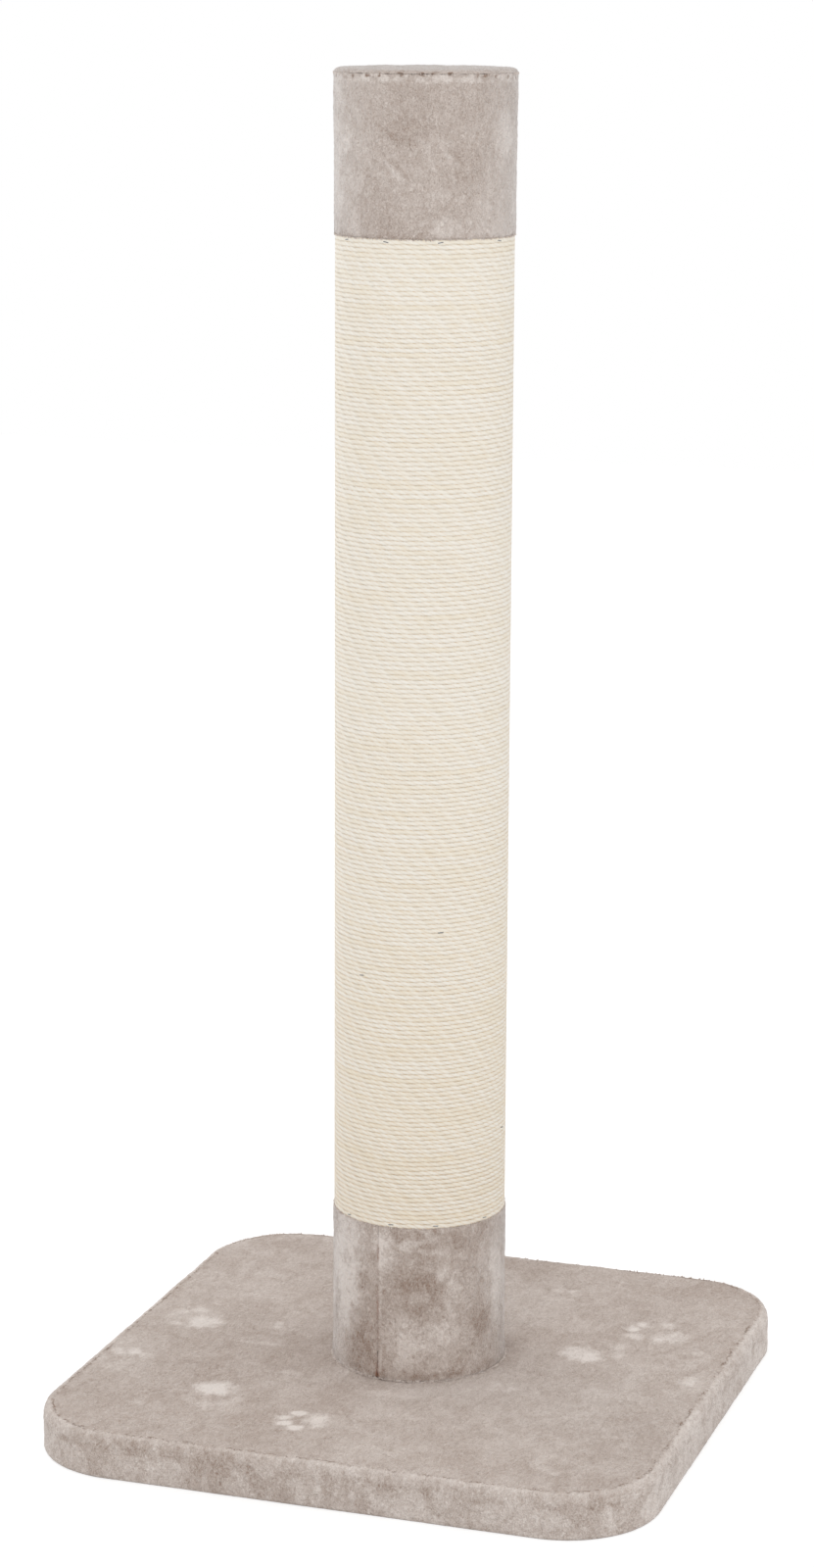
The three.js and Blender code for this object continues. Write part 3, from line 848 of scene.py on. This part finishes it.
def sleeve(name, low, high, seam_degrees, swell_at, open_top, open_foot, top_edge=SLEEVE_EDGE):
    shell = Shell()
    bottom, top = low.z, high.z
    edge = SLEEVE_EDGE
    profile = bend(edge, bottom + edge, edge, 180, 90, 5)
    profile += straight((0, bottom + edge), (0, top - top_edge), ROW_STEP)
    profile += bend(top_edge, top - top_edge, top_edge, 90, 0, 5)
    length = 2 * math.pi * SLEEVE_RADIUS
    middle = np.linspace(LIP_STEPS[-1], length - LIP_STEPS[-1], SLEEVE_COLUMNS + 1)[1:-1]
    marks = np.concatenate([LIP_STEPS, middle, length - LIP_STEPS[::-1]])
    sunk = np.clip(LIP_ROUND - np.minimum(marks, length - marks), 0, None)
    rolled = LIP_ROUND - np.sqrt(LIP_ROUND**2 - sunk**2)
    ridge = LIP_RIDGE * np.exp(-(((marks - 2.6 * MM) / (1.5 * MM)) ** 2))
    outer_rows, inner_rows = [], []
    for inset, height in profile:
        share = (height - bottom) / (top - bottom)
        opening, depth, wander = seam_shape(share, height, open_top, open_foot)
        around = wander + opening + marks * (length - 2 * opening) / length
        angles = math.radians(seam_degrees) + around / SLEEVE_RADIUS
        radius = SLEEVE_RADIUS + swell_at(height) - inset - rolled * depth + ridge * depth
        outer_rows.append(shell.row(radius * np.cos(angles), radius * np.sin(angles), height, 1.0))
        coarse = angles[::FINE_TO_COARSE]
        inner_rows.append(shell.row(SLEEVE_INNER * np.cos(coarse), SLEEVE_INNER * np.sin(coarse), height))
    shell.bands(outer_rows)
    shell.bands(inner_rows)
    for end in (0, -1):
        shell.bands([[row[end] for row in rows] for rows in (outer_rows, inner_rows)])
        shell.fan(outer_rows[end], inner_rows[end])
    return shell.piece(name)


# %% [markdown]
# How a sleeve has been handled is kept on its mesh too. Hands brush light and dark spots into it, each
# written down by its angle and height, its half width and half height, its slant in degrees, and how strongly
# it shows. The tall light spots near the post's left and right edges, as the camera sees it, are painted
# highlight.
# Just above the foot a band of the pile is painted darker, painted shade where the sleeve meets the base. The
# pile stands up light beside the butt, and is brown with glue where the butt opens.

# %% Handling marks
LOWER_MARKS = (
    (-129, 0.172, 20, 30, 0, 0.42),
    # The next three are tall light spots near the post's left and right edges as the camera sees it: painted
    # highlight.
    (-140, 0.140, 24, 44, 0, 0.16),
    (-153, 0.130, 10, 50, 0, 0.26),
    (10, 0.120, 9, 60, 0, 0.26),
    (-131, 0.112, 12, 38, 0, 0.46),
    (-97, 0.176, 9, 19, 0, 0.36),
    (-78, 0.182, 13, 3, -12, 0.34),
    (-66, 0.174, 14, 3, 8, 0.24),
    (-56, 0.153, 8, 8, 20, 0.40),
    (-50, 0.130, 8, 12, 20, 0.30),
    (-75, 0.128, 14, 6, 0, 0.24),
    (-77, 0.088, 24, 18, 0, 0.26),
    (-52, 0.090, 10, 14, 0, 0.16),
    (-8, 0.125, 14, 30, 0, 0.36),
    (-117, 0.068, 20, 18, 0, -0.26),
    (-76, 0.137, 26, 20, 0, -0.18),
    (-27, 0.098, 13, 26, 0, -0.22),
    (-32, 0.182, 20, 12, 0, -0.10),
    (42, 0.150, 20, 22, 10, 0.34),
    (70, 0.095, 16, 26, 0, -0.22),
    (104, 0.130, 24, 20, 30, 0.34),
    (150, 0.160, 20, 16, 0, -0.2),
    (165, 0.090, 18, 24, -20, 0.30),
)
UPPER_MARKS = (
    (-90, 1.187, 3, 12, -45, 0.18),
    (-87, 1.189, 2, 12, -45, -0.12),
    (-57, 1.203, 3, 10, -45, 0.18),
    (-54, 1.204, 2, 9, -48, -0.14),
    (-72, 1.211, 4, 5, -30, 0.14),
    (-93, 1.222, 2, 13, -60, -0.14),
    (-57, 1.141, 12, 9, 0, 0.20),
    (-64, 1.166, 10, 8, 0, 0.12),
    (-14, 1.225, 12, 26, 0, 0.22),
    # The next two are tall light spots near the post's left and right edges as the camera sees it: painted
    # highlight.
    (-148, 1.200, 22, 60, 0, 0.34),
    (8, 1.200, 12, 60, 0, 0.24),
    (-124, 1.146, 9, 12, 0, 0.14),
    (-118, 1.205, 14, 44, 0, 0.10),
    (-86, 1.230, 18, 14, 0, -0.10),
    (-40, 1.200, 16, 22, 0, -0.10),
    (-103, 1.142, 17, 7, 0, -0.12),
    (30, 1.180, 16, 22, 30, 0.24),
    (82, 1.220, 20, 14, 0, -0.14),
    (120, 1.170, 5, 20, -35, 0.28),
    (172, 1.210, 16, 22, 0, 0.20),
)
PIT_FRONT = -72


def points_of(mesh):
    """Each point of a mesh, and its angle round the post."""
    points = np.array([v.co for v in mesh.vertices])
    return points, np.arctan2(points[:, 1], points[:, 0])


def unevenness(points, size):
    """Noise from about -0.6 to 0.6 at each point, with spots about this many metres across."""
    return np.array([noise.noise(Vector(p) / size) for p in points])


def handled(mesh, marks, seam_degrees, bottom, foot_shade_band, upstand=1.0):
    """Keeps what hands and glue have done to a sleeve on its mesh, with painted highlight near its edges and
    painted shade just above its foot. Pile that starts at the height `upstand` stands up."""
    points, angles = points_of(mesh)
    heights = points[:, 2]

    def beside(degrees):
        """How far a point lies round from an angle, in metres, more than 0 anticlockwise."""
        turned = angles - math.radians(degrees)
        return (np.mod(turned + math.pi, 2 * math.pi) - math.pi) * SLEEVE_RADIUS

    ragged = unevenness(points, 7 * MM)
    slow = unevenness(points, 22 * MM)
    brushed_and_painted_light = np.zeros(len(points))
    for degrees, height, half_width, half_height, slant, strength in marks:
        cos, sin = math.cos(math.radians(slant)), math.sin(math.radians(slant))
        across, along = beside(degrees), heights - height
        u = (across * cos - along * sin) / (half_width * MM)
        v = (across * sin + along * cos) / (half_height * MM)
        out = np.hypot(u, v) + 0.6 * ragged + 0.6 * slow
        brushed_and_painted_light += strength * np.clip((1.5 - out) / 1.0, 0, 1)
    above_foot, reach = foot_shade_band
    # A band of painted shade just above the foot, where the sleeve meets the base.
    foot_shade = np.clip(1 - np.abs(heights - bottom - above_foot) / reach, 0, 1)
    brushed_and_painted_light -= 0.34 * foot_shade * np.clip(0.6 + slow + ragged, 0, 1)
    aside = beside(seam_degrees)
    low_share = np.clip(1 - (heights - bottom) / (30 * MM), 0, 1)
    brushed_and_painted_light += 0.3 * np.exp(-(((aside - 2.8 * MM) / (1.6 * MM)) ** 2)) * np.clip(0.5 + slow * 2, 0, 1)
    standing = np.clip((heights - bottom - upstand) / (4 * MM), 0, 1) * np.clip(0.55 + ragged * 1.5, 0, 1)
    brushed_and_painted_light += 0.34 * standing
    near = np.exp(-((aside / (1.2 * MM + 1.4 * MM * low_share**2)) ** 2))
    glued = near * np.clip(1.5 * low_share**2 + 1.2 * np.abs(slow) - 0.15, 0, 1)
    keep(mesh, "brushed_and_painted_light", brushed_and_painted_light)
    keep(mesh, "glued", glued)


def paint_pit_shade(mesh):
    """Painted shade in pits where the pile of the disc and of the sleeve parts over their joint. The disc is
    drawn down a little further at two sides of the post."""
    points, angles = points_of(mesh)
    joint = upper_high.z + 0.6 * MM - 4.5 * MM * np.sin(angles - math.radians(PIT_FRONT)) ** 2
    near = np.clip(1.3 - np.abs(points[:, 2] - joint) / (1.9 * MM), 0, 1)
    near *= np.hypot(points[:, 0], points[:, 1]) > SLEEVE_RADIUS - 3 * MM
    # How much painted shade each pit gets.
    depth = 1.1 * near * np.clip(unevenness(points, 4.5 * MM) * 3 - 0.1, 0, 1)
    if "brushed_and_painted_light" not in mesh.attributes:
        mesh.attributes.new("brushed_and_painted_light", "FLOAT", "POINT")
    brushed_and_painted_light = np.zeros(len(points))
    mesh.attributes["brushed_and_painted_light"].data.foreach_get("value", brushed_and_painted_light)
    mesh.attributes["brushed_and_painted_light"].data.foreach_set("value", brushed_and_painted_light - depth)


def foot_swell(height):
    return 0.8 * MM * math.exp(-(((height - lower_low.z - 8 * MM) / (12 * MM)) ** 2))


def head_swell(height):
    return 0.9 * MM * max(0.0, 1 - (upper_high.z - height) / (85 * MM))


SLEEVE_PILE = {"Clump": 3.6 * MM, "Clump Height": 1.8 * MM, "Swell": 30 * MM, "Swell Height": 1.1 * MM}


def sleeve_fringe(name, outside, height, lean, count, length, width, seed):
    """Tufts round the post, this far outside a sleeve, with their length and width in millimetres."""
    radius = SLEEVE_RADIUS + outside * MM
    values = {"Count": count, "Length": length * MM, "Width": width * MM, "Seed": seed}
    return fringe(name, rounded_square(radius, radius), height, lean, values)


lower = sleeve("lower_shell", lower_low, lower_high, LOWER_SEAM, foot_swell, 0.4 * MM, 0.35 * MM)
handled(lower.data, LOWER_MARKS, LOWER_SEAM, lower_low.z, (6 * MM, 9 * MM))
lower = grown(pile_bench, lower, "lower_sleeve", {**SLEEVE_PILE, "Material": plush_on_foot})
foot_tufts = sleeve_fringe("foot_tufts", 0.6, BASE_TOP + 0.2 * MM, (0.6, 0.6), 2400, 2.0, 1.2, 2)
lower_edge = sleeve_fringe("lower_edge_tufts", -1.2, lower_high.z - 0.8 * MM, (0.5, 0.7), 700, 1.7, 1.2, 3)
lower_fringes = [foot_tufts, lower_edge]
settle(lower, "lower_plush_sleeve", fringes=lower_fringes)

upper = sleeve("upper_shell", upper_low, upper_high, UPPER_SEAM, head_swell, 1.2 * MM, 0.2 * MM, 0.4 * MM)
edge_band = upper_high.z - upper_low.z - 9 * MM
handled(upper.data, UPPER_MARKS, UPPER_SEAM, upper_low.z, (1 * MM, 4 * MM), edge_band)
paint_pit_shade(upper.data)
upper = grown(pile_bench, upper, "upper_sleeve", {**SLEEVE_PILE, "Material": plush_on_head})
head_tufts = sleeve_fringe("head_tufts", -0.3, upper_high.z - 0.9 * MM, (0.5, 0.7), 1300, 1.6, 1.3, 4)
upper_edge = sleeve_fringe("upper_edge_tufts", -1.2, upper_low.z + 0.8 * MM, (0.5, -0.7), 700, 1.6, 1.2, 5)
upper_fringes = [head_tufts, upper_edge]
settle(upper, "upper_plush_sleeve", fringes=upper_fringes)

# %% [markdown]
# ## The disc on top
# A round of the same plush closes the post. Its rounded rim lies flush with the sleeve, so that only the pile
# shows where the two meet: it parts in pits over the joint, darkened by painted shade, and stands up light
# below it.

# %% Top disc
DISC_STEPS = 64
DISC_EDGE = 7 * MM
DISC_UNDER = 0.3 * MM
DISC_CROWN = 0.8 * MM
DISC_BULGE = 0.6 * MM


def top_disc():
    bottom, top = disc_low.z, disc_high.z
    rim_top = top - DISC_CROWN
    side = bottom + DISC_UNDER
    angles = np.radians(np.linspace(0, 90, 9))
    insets = DISC_EDGE * (1 - np.sin(angles)) - DISC_BULGE
    fine = list(zip(insets, side + (rim_top - side) * np.cos(angles)))
    fine += [(DISC_UNDER - DISC_BULGE, bottom)]
    coarse = [(3 * MM, bottom)]
    print(f"disc: {(top - bottom) / MM:.1f} mm thick")
    crown = lambda share: rim_top + DISC_CROWN * (1 - share**2)
    return slab("disc_shell", SLEEVE_RADIUS, SLEEVE_RADIUS, DISC_STEPS, crown, fine, coarse)


disc = top_disc()
paint_pit_shade(disc.data)
disc_pile = {**SLEEVE_PILE, "Swell Height": 1.3 * MM, "Material": plush_on_head}
disc = grown(pile_bench, disc, "top_disc", disc_pile)
settle(disc, "top_plush_disc")

# %% [markdown]
# ## Sisal rope
# The rope is about four millimetres thick and goes round the post more than two hundred times. It is
# three strands laid together, so it isn't a smooth tube: each strand rises and dips under the next,
# and that is what catches the light. Geometry Nodes draw it as one line that runs round the post,
# turn by turn, and sweep a three-lobed section along it that turns as it goes. The turns press on each
# other, so the section is then flattened on its outside and spread until no gap is left between them.
#
# A winder starts level against the edge of the sleeve and steps up a turn where the rope meets its own
# start. That step spreads out over the next turns until they climb evenly, and comes back at the top.

# %% Rope tree
ROPE_PITCH = 4.3 * MM
ROPE_RADIUS = 2.35 * MM
ROPE_PRESSED = 0.4
ROPE_FILLED = 0.95
ROPE_SPREAD = 1.2
ROPE_STRANDS = 3
ROPE_LAY = 22.5 * MM
ROPE_SIDES = 9
ROPE_STEPS = 180
ROPE_START_DEGREES = 118.0
ROPE_STRETCHES = 4
turns = round((WINDING_TOP - WINDING_BOTTOM) / ROPE_PITCH)
pitch = (WINDING_TOP - WINDING_BOTTOM) / turns
winding_radius = TUBE_RADIUS + 0.1 * MM + ROPE_RADIUS
print(f"rope: {turns} turns, {2 * math.pi * winding_radius * turns:.0f} m long, {pitch / MM:.2f} mm apart")


def rope_tree():
    inputs = {
        "First Turn": 0.0,
        "Steps": 1,
        "Steps per Turn": ROPE_STEPS,
        "All Turns": float(turns),
        "Pitch": pitch,
        "Bottom": WINDING_BOTTOM,
        "Winding Radius": winding_radius,
        "Rope Radius": ROPE_RADIUS,
        "Lay": ROPE_LAY,
        "Strand Depth": 0.08,
        "Step Width": 0.1,
        "Settling Turns": 20.0,
        "Start Angle": math.radians(ROPE_START_DEGREES),
    }
    bench, entry = geometry_tree("rope", inputs)
    winding, thickness = entry["Winding Radius"], entry["Rope Radius"]
    full_turn = 2 * math.pi
    line = bench.node("MeshLine", Count=entry["Steps"] + 1.0)
    turn = entry["First Turn"] + bench.node("InputIndex") / entry["Steps per Turn"]
    along = turn * 2 * math.pi * winding

    whole = bench.math("FLOOR", turn)
    part = turn - whole
    from_end = bench.math("MINIMUM", turn, entry["All Turns"] - turn)
    settled = bench.smooth(from_end, 0.0, entry["Settling Turns"])
    jog = bench.smooth(part, 1 - entry["Step Width"], 1.0)
    risen = whole + jog + (part - jog) * settled

    def wobble(seed, size):
        return bench.noise(bench.joined(along, seed), size, detail=1.0) - 0.5

    height = entry["Bottom"] + entry["Pitch"] * (risen + 0.5) + wobble(3.0, 60 * MM) * (0.5 * MM)
    radius = winding + wobble(8.0, 45 * MM) * (0.3 * MM)
    place = bench.turned(radius, entry["Start Angle"] + turn * 2 * math.pi, height)
    laid = bench.node("SetPosition", line, Position=place)
    for name, value in (("along", along), ("turn", turn), ("middle", height)):
        laid = stored(bench, laid, name, value)
    curve = bench.node("MeshToCurve", laid)
    curve = bench.node("SetCurveTilt", curve, Tilt=along * full_turn / entry["Lay"])
    curve = bench.node("SetCurveRadius", curve, Radius=1 + wobble(5.0, 30 * MM) * 0.06)

    section = bench.node("MeshLine", Count=ROPE_SIDES + 1)
    around = bench.node("InputIndex") / float(ROPE_SIDES)
    crest = bench.math("COSINE", around * (full_turn * ROPE_STRANDS)) * 0.5 + 0.5
    reach = thickness * (1 - (1 - crest) * entry["Strand Depth"])
    section = bench.node("SetPosition", section, Position=bench.turned(reach, around * full_turn))
    section = bench.node("MeshToCurve", stored(bench, section, "around", around))
    swept = bench.node("CurveToMesh", curve, Profile_Curve=section)

    middle = named(bench, "middle")
    spot = bench.node("InputPosition")
    x, y, z = bench.split(spot)
    out = bench.length(bench.scaled(spot, (1, 1, 0)))
    share = (out - winding) / thickness
    outside = 1 - (1 - share) * ROPE_PRESSED
    above = bench.math("SIGN", z - middle)
    outside = bench.math("SMOOTH_MAX", outside, ROPE_FILLED + above * 0.01, 0.12)
    inside = (1 + share) * (2 - ROPE_PRESSED) - 1
    sideways = (winding + thickness * bench.math("MINIMUM", outside, inside)) / out
    wider = middle + (z - middle) * ROPE_SPREAD
    spot = bench.joined(x * sideways, y * sideways, wider)
    swept = bench.node("SetPosition", swept, Position=spot)

    kept_turn = named(bench, "turn")
    strip = bench.node("FieldOnDomain", kept_turn, data_type="FLOAT", domain="FACE")
    strip = bench.math("FLOOR", strip)
    first = bench.math("FLOOR", entry["First Turn"])
    rows = entry["Steps"] / entry["Steps per Turn"] + 1
    flat = bench.joined(kept_turn - strip, (strip - first + named(bench, "around") * 0.94) / rows)
    mapped = stored(bench, swept, "OFBake", flat, "FLOAT2", "CORNER")
    welded = bench.node("MergeByDistance", mapped, Distance=0.02 * MM)
    return close_tree(bench, welded, entry["Material"])


rope_bench = rope_tree()
print("rope tree ready")

# %% [markdown]
# Sisal is a leaf fibre: cream, a little glossy along the fibre, and never quite one colour, because each
# strand is spun from many leaves. The material reads how far along the rope and how far round it a point is,
# so its fibres follow the lay of the strands, and it darkens to tan in the grooves between strands and
# between turns as painted shade. Lower down the rows are painted darker and their grooves deeper tan, also
# painted shade. Fibres scatter light sideways, so the shading is drawn as if each turn were flatter than it
# is.

# %% Sisal material
SISAL_CREAM = rgb(243, 238, 228)
SISAL_STRAW = rgb(237, 225, 202)
SISAL_GROOVE_SHADE = rgb(221, 197, 164)
ROPE_SOFTNESS = 0.6


def sisal():
    material, bench = new_material("sisal")
    along, around = bench.attribute("along"), bench.attribute("around")
    place = bench.place()
    aside = abs(bench.split(place)[2] - bench.attribute("middle")) / (pitch / 2)

    spun = bench.joined(along, around * (2 * math.pi * ROPE_RADIUS))
    batches = bench.noise(spun, 0.9, detail=3, roughness=0.7)
    leaves = bench.noise(bench.scaled(spun, (1, 3, 1)), 55 * MM, detail=2)
    fibres = bench.noise(bench.scaled(spun, (0.14, 1, 1)), 0.55 * MM, detail=2, roughness=0.65)
    # Painted shade: the rows lower down are darker.
    lower_shade = bench.smooth(bench.split(place)[2], 0.75, 0.2)
    tone = bench.smooth(batches * 0.55 + leaves * 0.45, 0.4, 0.66) * 0.6 + (fibres - 0.5) * 0.6
    tone = tone + lower_shade * 0.14
    tone = bench.clamp(tone)
    colour = bench.blend(tone, SISAL_CREAM, SISAL_STRAW)
    between_turns = bench.smooth(aside, 0.5, 1.0)
    between_strands = bench.band(bench.math("FRACT", around * ROPE_STRANDS), 0.5, 0.24)
    # Painted shade in the grooves between turns and between strands.
    groove_shade = between_turns * (0.2 + between_strands * 0.55) + between_strands * 0.2
    groove_shade = groove_shade * (1 + lower_shade * 0.6)
    groove_shade = bench.clamp(groove_shade * (0.6 + fibres * 0.8))
    colour = bench.blend(groove_shade, colour, SISAL_GROOVE_SHADE)
    outwards = bench.scaled(place, (ROPE_SOFTNESS / winding_radius, ROPE_SOFTNESS / winding_radius, 0))
    kept = bench.scaled(bench.node("NewGeometry", out="Normal"), (1 - ROPE_SOFTNESS,) * 3)
    soft = bench.vector("NORMALIZE", bench.vector("ADD", outwards, kept))
    finish_surface(bench, colour, 0.72 + groove_shade * 0.2, fibres, 0.2 * MM, soft, Sheen_Weight=0.08)
    return material


sisal_material = sisal()


def seed_object(name):
    """An empty mesh for a tree that makes everything itself."""
    return add_object(name, bpy.data.meshes.new(name))


all_steps = round((turns - 0.1) * ROPE_STEPS)
cuts = np.linspace(0, all_steps, ROPE_STRETCHES + 1).round().astype(int)
for number, (start, stop) in enumerate(zip(cuts, cuts[1:]), 1):
    name = f"sisal_rope_{number}"
    values = {"First Turn": start / ROPE_STEPS, "Steps": int(stop - start), "Material": sisal_material}
    rope = grown(rope_bench, seed_object("rope_line"), name, values)
    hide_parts("sisal_rope")
    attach(rope, BODY)
    print(f"{name}: {len(rope.data.polygons)} faces")

# %% [markdown]
# ## Staples
# Wire staples hold the first and the last turn, and a few hold a turn on the way. Each is a flat crown of
# wire sunk between the fibres with its legs in the tube. They are listed one by one, by the angle and the
# height where they sit, and one small tree stands a staple on each of those points.

# %% Staple tree
STAPLE_CROWN = 4.8 * MM
STAPLE_WIRE = (0.6 * MM, 0.8 * MM)
STAPLE_LEG = 3.0 * MM
UPPER_STAPLES = (-131, -97, -62, -17, 30, 78, 122, 168)
LOWER_STAPLES = (-126, -91, -61, -23, 20, 63, 104, 149, 190)
STAPLE_SUNK = -0.15 * MM
STAPLE_ASKEW = 0.25
STRAY_STAPLES = ((-59, 0.4875), (-114, 0.441), (0.5, 0.281), (70, 0.705), (150, 0.93))


def staple_tree():
    names = ("Wire Across", "Wire Along", "Crown", "Leg")
    bench, entry = geometry_tree("staples", dict(zip(names, (*STAPLE_WIRE, STAPLE_CROWN, STAPLE_LEG))))
    across, along, crown, leg = (entry[name] for name in names)

    def bar(x, y, shift_x=0.0, shift_y=0.0):
        box = bench.node("MeshCube", bench.joined(x, y, along))
        return bench.node("Transform", box, Translation=bench.joined(shift_x, shift_y))

    half = (crown - across) / 2
    inwards = 0 - (leg - across) / 2
    parts = [bar(across, crown), bar(leg, across, inwards, half), bar(leg, across, inwards, 0 - half)]
    joined = bench.tree.nodes.new("GeometryNodeJoinGeometry")
    for part in parts:
        bench.tree.links.new(part.socket, joined.inputs[0])
    x, y, z = bench.split(bench.node("InputPosition"))
    turn = bench.joined(0.0, 0.0, bench.math("ARCTAN2", y, x))
    staple = Wire(bench, joined.outputs[0])
    placed = bench.node("InstanceOnPoints", entry["Geometry"], Instance=staple, Rotation=turn)
    tilt = drawn(bench, -STAPLE_ASKEW, STAPLE_ASKEW, 4)
    placed = bench.node("RotateInstances", placed, Rotation=bench.joined(tilt))
    return close_tree(bench, placed, entry["Material"])


def on_winding(degrees, height):
    angle = math.radians(degrees)
    radius = winding_radius + ROPE_RADIUS + STAPLE_SUNK
    return radius * math.cos(angle), radius * math.sin(angle), height


def zinc(name, colour, roughness):
    """Zinc plate: bright steel with faint spangles, duller where it has been handled."""
    material, bench = new_material(name)
    place = bench.place()
    spangle = bench.noise(place, 1.4 * MM, detail=2)
    wear = bench.noise(place, 6 * MM, detail=3, roughness=0.7)
    shades = bench.blend(spangle, colour, rgb(150, 152, 156))
    finish_surface(bench, shades, roughness + wear * 0.3, spangle, 0.04 * MM, Metallic=1.0)
    return material


staple_wire = zinc("staple_wire", rgb(120, 120, 122), 0.35)
spots = [on_winding(a, WINDING_TOP - 0.55 * pitch) for a in UPPER_STAPLES]
spots += [on_winding(a, WINDING_BOTTOM + 0.6 * pitch) for a in LOWER_STAPLES]
spots += [on_winding(a, z) for a, z in STRAY_STAPLES]
seeds = seed_object("staple_points")
seeds.data.from_pydata(spots, [], [])
staples = grown(staple_tree(), seeds, "rope_staples", {"Material": staple_wire})
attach(staples, BODY)
print(f"rope_staples: {len(spots)} staples")

# %% [markdown]
# ## What the cloth and the rope are fixed to
# The board, the plugs, the tube and the hardware keep their shape from the frame and only get a
# finish: chipboard with its pressed flakes, fibreboard plugs, grey-brown paperboard with the spiral
# lines of its winding, and zinc-plated steel.

# %% Finishes for the frame's own pieces
def chipboard():
    material, bench = new_material("chipboard")
    place = bench.place()
    flakes = bench.node("TexVoronoi", feature="F1", Vector=bench.scaled(place, (1, 0.6, 1.6)), Scale=210.0)
    grain = bench.noise(place, 2.2 * MM, detail=4, roughness=0.7)
    tone = bench.smooth(flakes * 0.5 + grain * 0.7, 0.25, 0.85)
    colour = bench.blend(tone, rgb(205, 172, 124), rgb(150, 112, 68))
    finish_surface(bench, colour, 0.8 + grain * 0.15, grain - flakes * 0.6, 0.5 * MM)
    return material


def fibrous(name, light, dark, lie, fibre, cloud, share, rough, depth, roughness=0.5, distortion=0.0):
    """Pressed fibres over slow clouds. `lie` draws the fibres out, `share` is their part of the
    colour, and `rough` is the roughness and what a fibre adds to it."""
    material, bench = new_material(name)
    place = bench.place()
    fibres = bench.noise(bench.scaled(place, lie), fibre, 3, roughness, distortion)
    clouds = bench.noise(place, cloud, detail=2)
    colour = bench.blend(fibres * share + clouds * (1 - share), light, dark)
    finish_surface(bench, colour, rough[0] + fibres * rough[1], fibres, depth)
    return material


def paperboard():
    material, bench = new_material("paperboard")
    place = bench.place()
    x, y, z = bench.split(place)
    turn = bench.math("ARCTAN2", y, x) / (2 * math.pi)
    lap = bench.math("FRACT", z / 0.11 + turn)
    seam = 1 - bench.smooth(abs(lap - 0.5), 0.0, 0.012)
    pulp = bench.noise(place, 1.8 * MM, detail=4, roughness=0.7)
    colour = bench.blend(pulp, rgb(186, 158, 122), rgb(146, 118, 86))
    colour = bench.blend(seam * 0.5, colour, rgb(104, 80, 56))
    finish_surface(bench, colour, 0.82 + pulp * 0.12, pulp * 0.4 - seam, 0.3 * MM)
    return material


bright_zinc = zinc("zinc_plate", rgb(196, 199, 204), 0.22)
plug_colours = (rgb(196, 160, 112), rgb(165, 128, 84))
plug_wood = fibrous("fibreboard", *plug_colours, (1, 1, 3), 0.9 * MM, 25 * MM, 0.6, (0.75, 0.2), 0.15 * MM)
FINISHES = {
    "base_board": chipboard(),
    "core_tube": paperboard(),
    "bottom_plug": plug_wood,
    "top_plug": plug_wood,
}


def paint_frame():
    """Gives each node that stays its finish in place of the frame's plain colour."""
    for name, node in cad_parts.items():
        material = FINISHES.get(name, bright_zinc)
        node.data.materials.clear()
        node.data.materials.append(material)


paint_frame()
print("frame finished")

# %% [markdown]
# ## The underside
# Thin needled felt is glued under the middle of the base, inside the turned-in edge of the plush, and
# keeps the floor from scratches. A tree cuts its round holes, one below each bolt of the frame.

# %% Felt
FELT_CORNER = COVER_CORNER - (BASE_HALF - felt_high.x)
FELT_STEPS = 64
BOLT_HOLE = 13.5 * MM
bolt_low, bolt_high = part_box("base_bolt_1")
bolt_place = (bolt_low + bolt_high) / 2


def hole_tree():
    inputs = {
        "Ring": math.hypot(bolt_place.x, bolt_place.y),
        "Start Angle": math.atan2(bolt_place.y, bolt_place.x),
        "Hole": BOLT_HOLE,
    }
    bench, entry = geometry_tree("holes", inputs)
    spots = bench.node("MeshCircle", Vertices=4, Radius=entry["Ring"])
    spots = bench.node("Transform", spots, Rotation=bench.joined(0.0, 0.0, entry["Start Angle"]))
    plug = bench.node("MeshCylinder", Vertices=48, Radius=entry["Hole"], Depth=0.1)
    plugs = bench.node("RealizeInstances", bench.node("InstanceOnPoints", spots, Instance=plug))
    holed = bench.node("MeshBoolean", operation="DIFFERENCE", Mesh_1=entry["Geometry"], Mesh_2=plugs)
    return close_tree(bench, holed, entry["Material"])


def felt_sheet():
    fine = [(0, felt_high.z), (0, felt_low.z + 0.4 * MM)]
    above = lambda share: felt_high.z
    return slab("felt_shell", felt_high.x, FELT_CORNER, FELT_STEPS, above, fine, [(2 * MM, felt_low.z)])


felt_colours = (rgb(48, 46, 45), rgb(84, 80, 78))
felt_fibres = ((1, 1, 1), 0.8 * MM, 30 * MM, 0.7, (0.95, -0.05), 0.6 * MM, 0.7, 1.2)
felt = fibrous("felt", *felt_colours, *felt_fibres)
felt_piece = grown(hole_tree(), felt_sheet(), "underside_felt", {"Material": felt})
settle(felt_piece, "base_underside_felt")
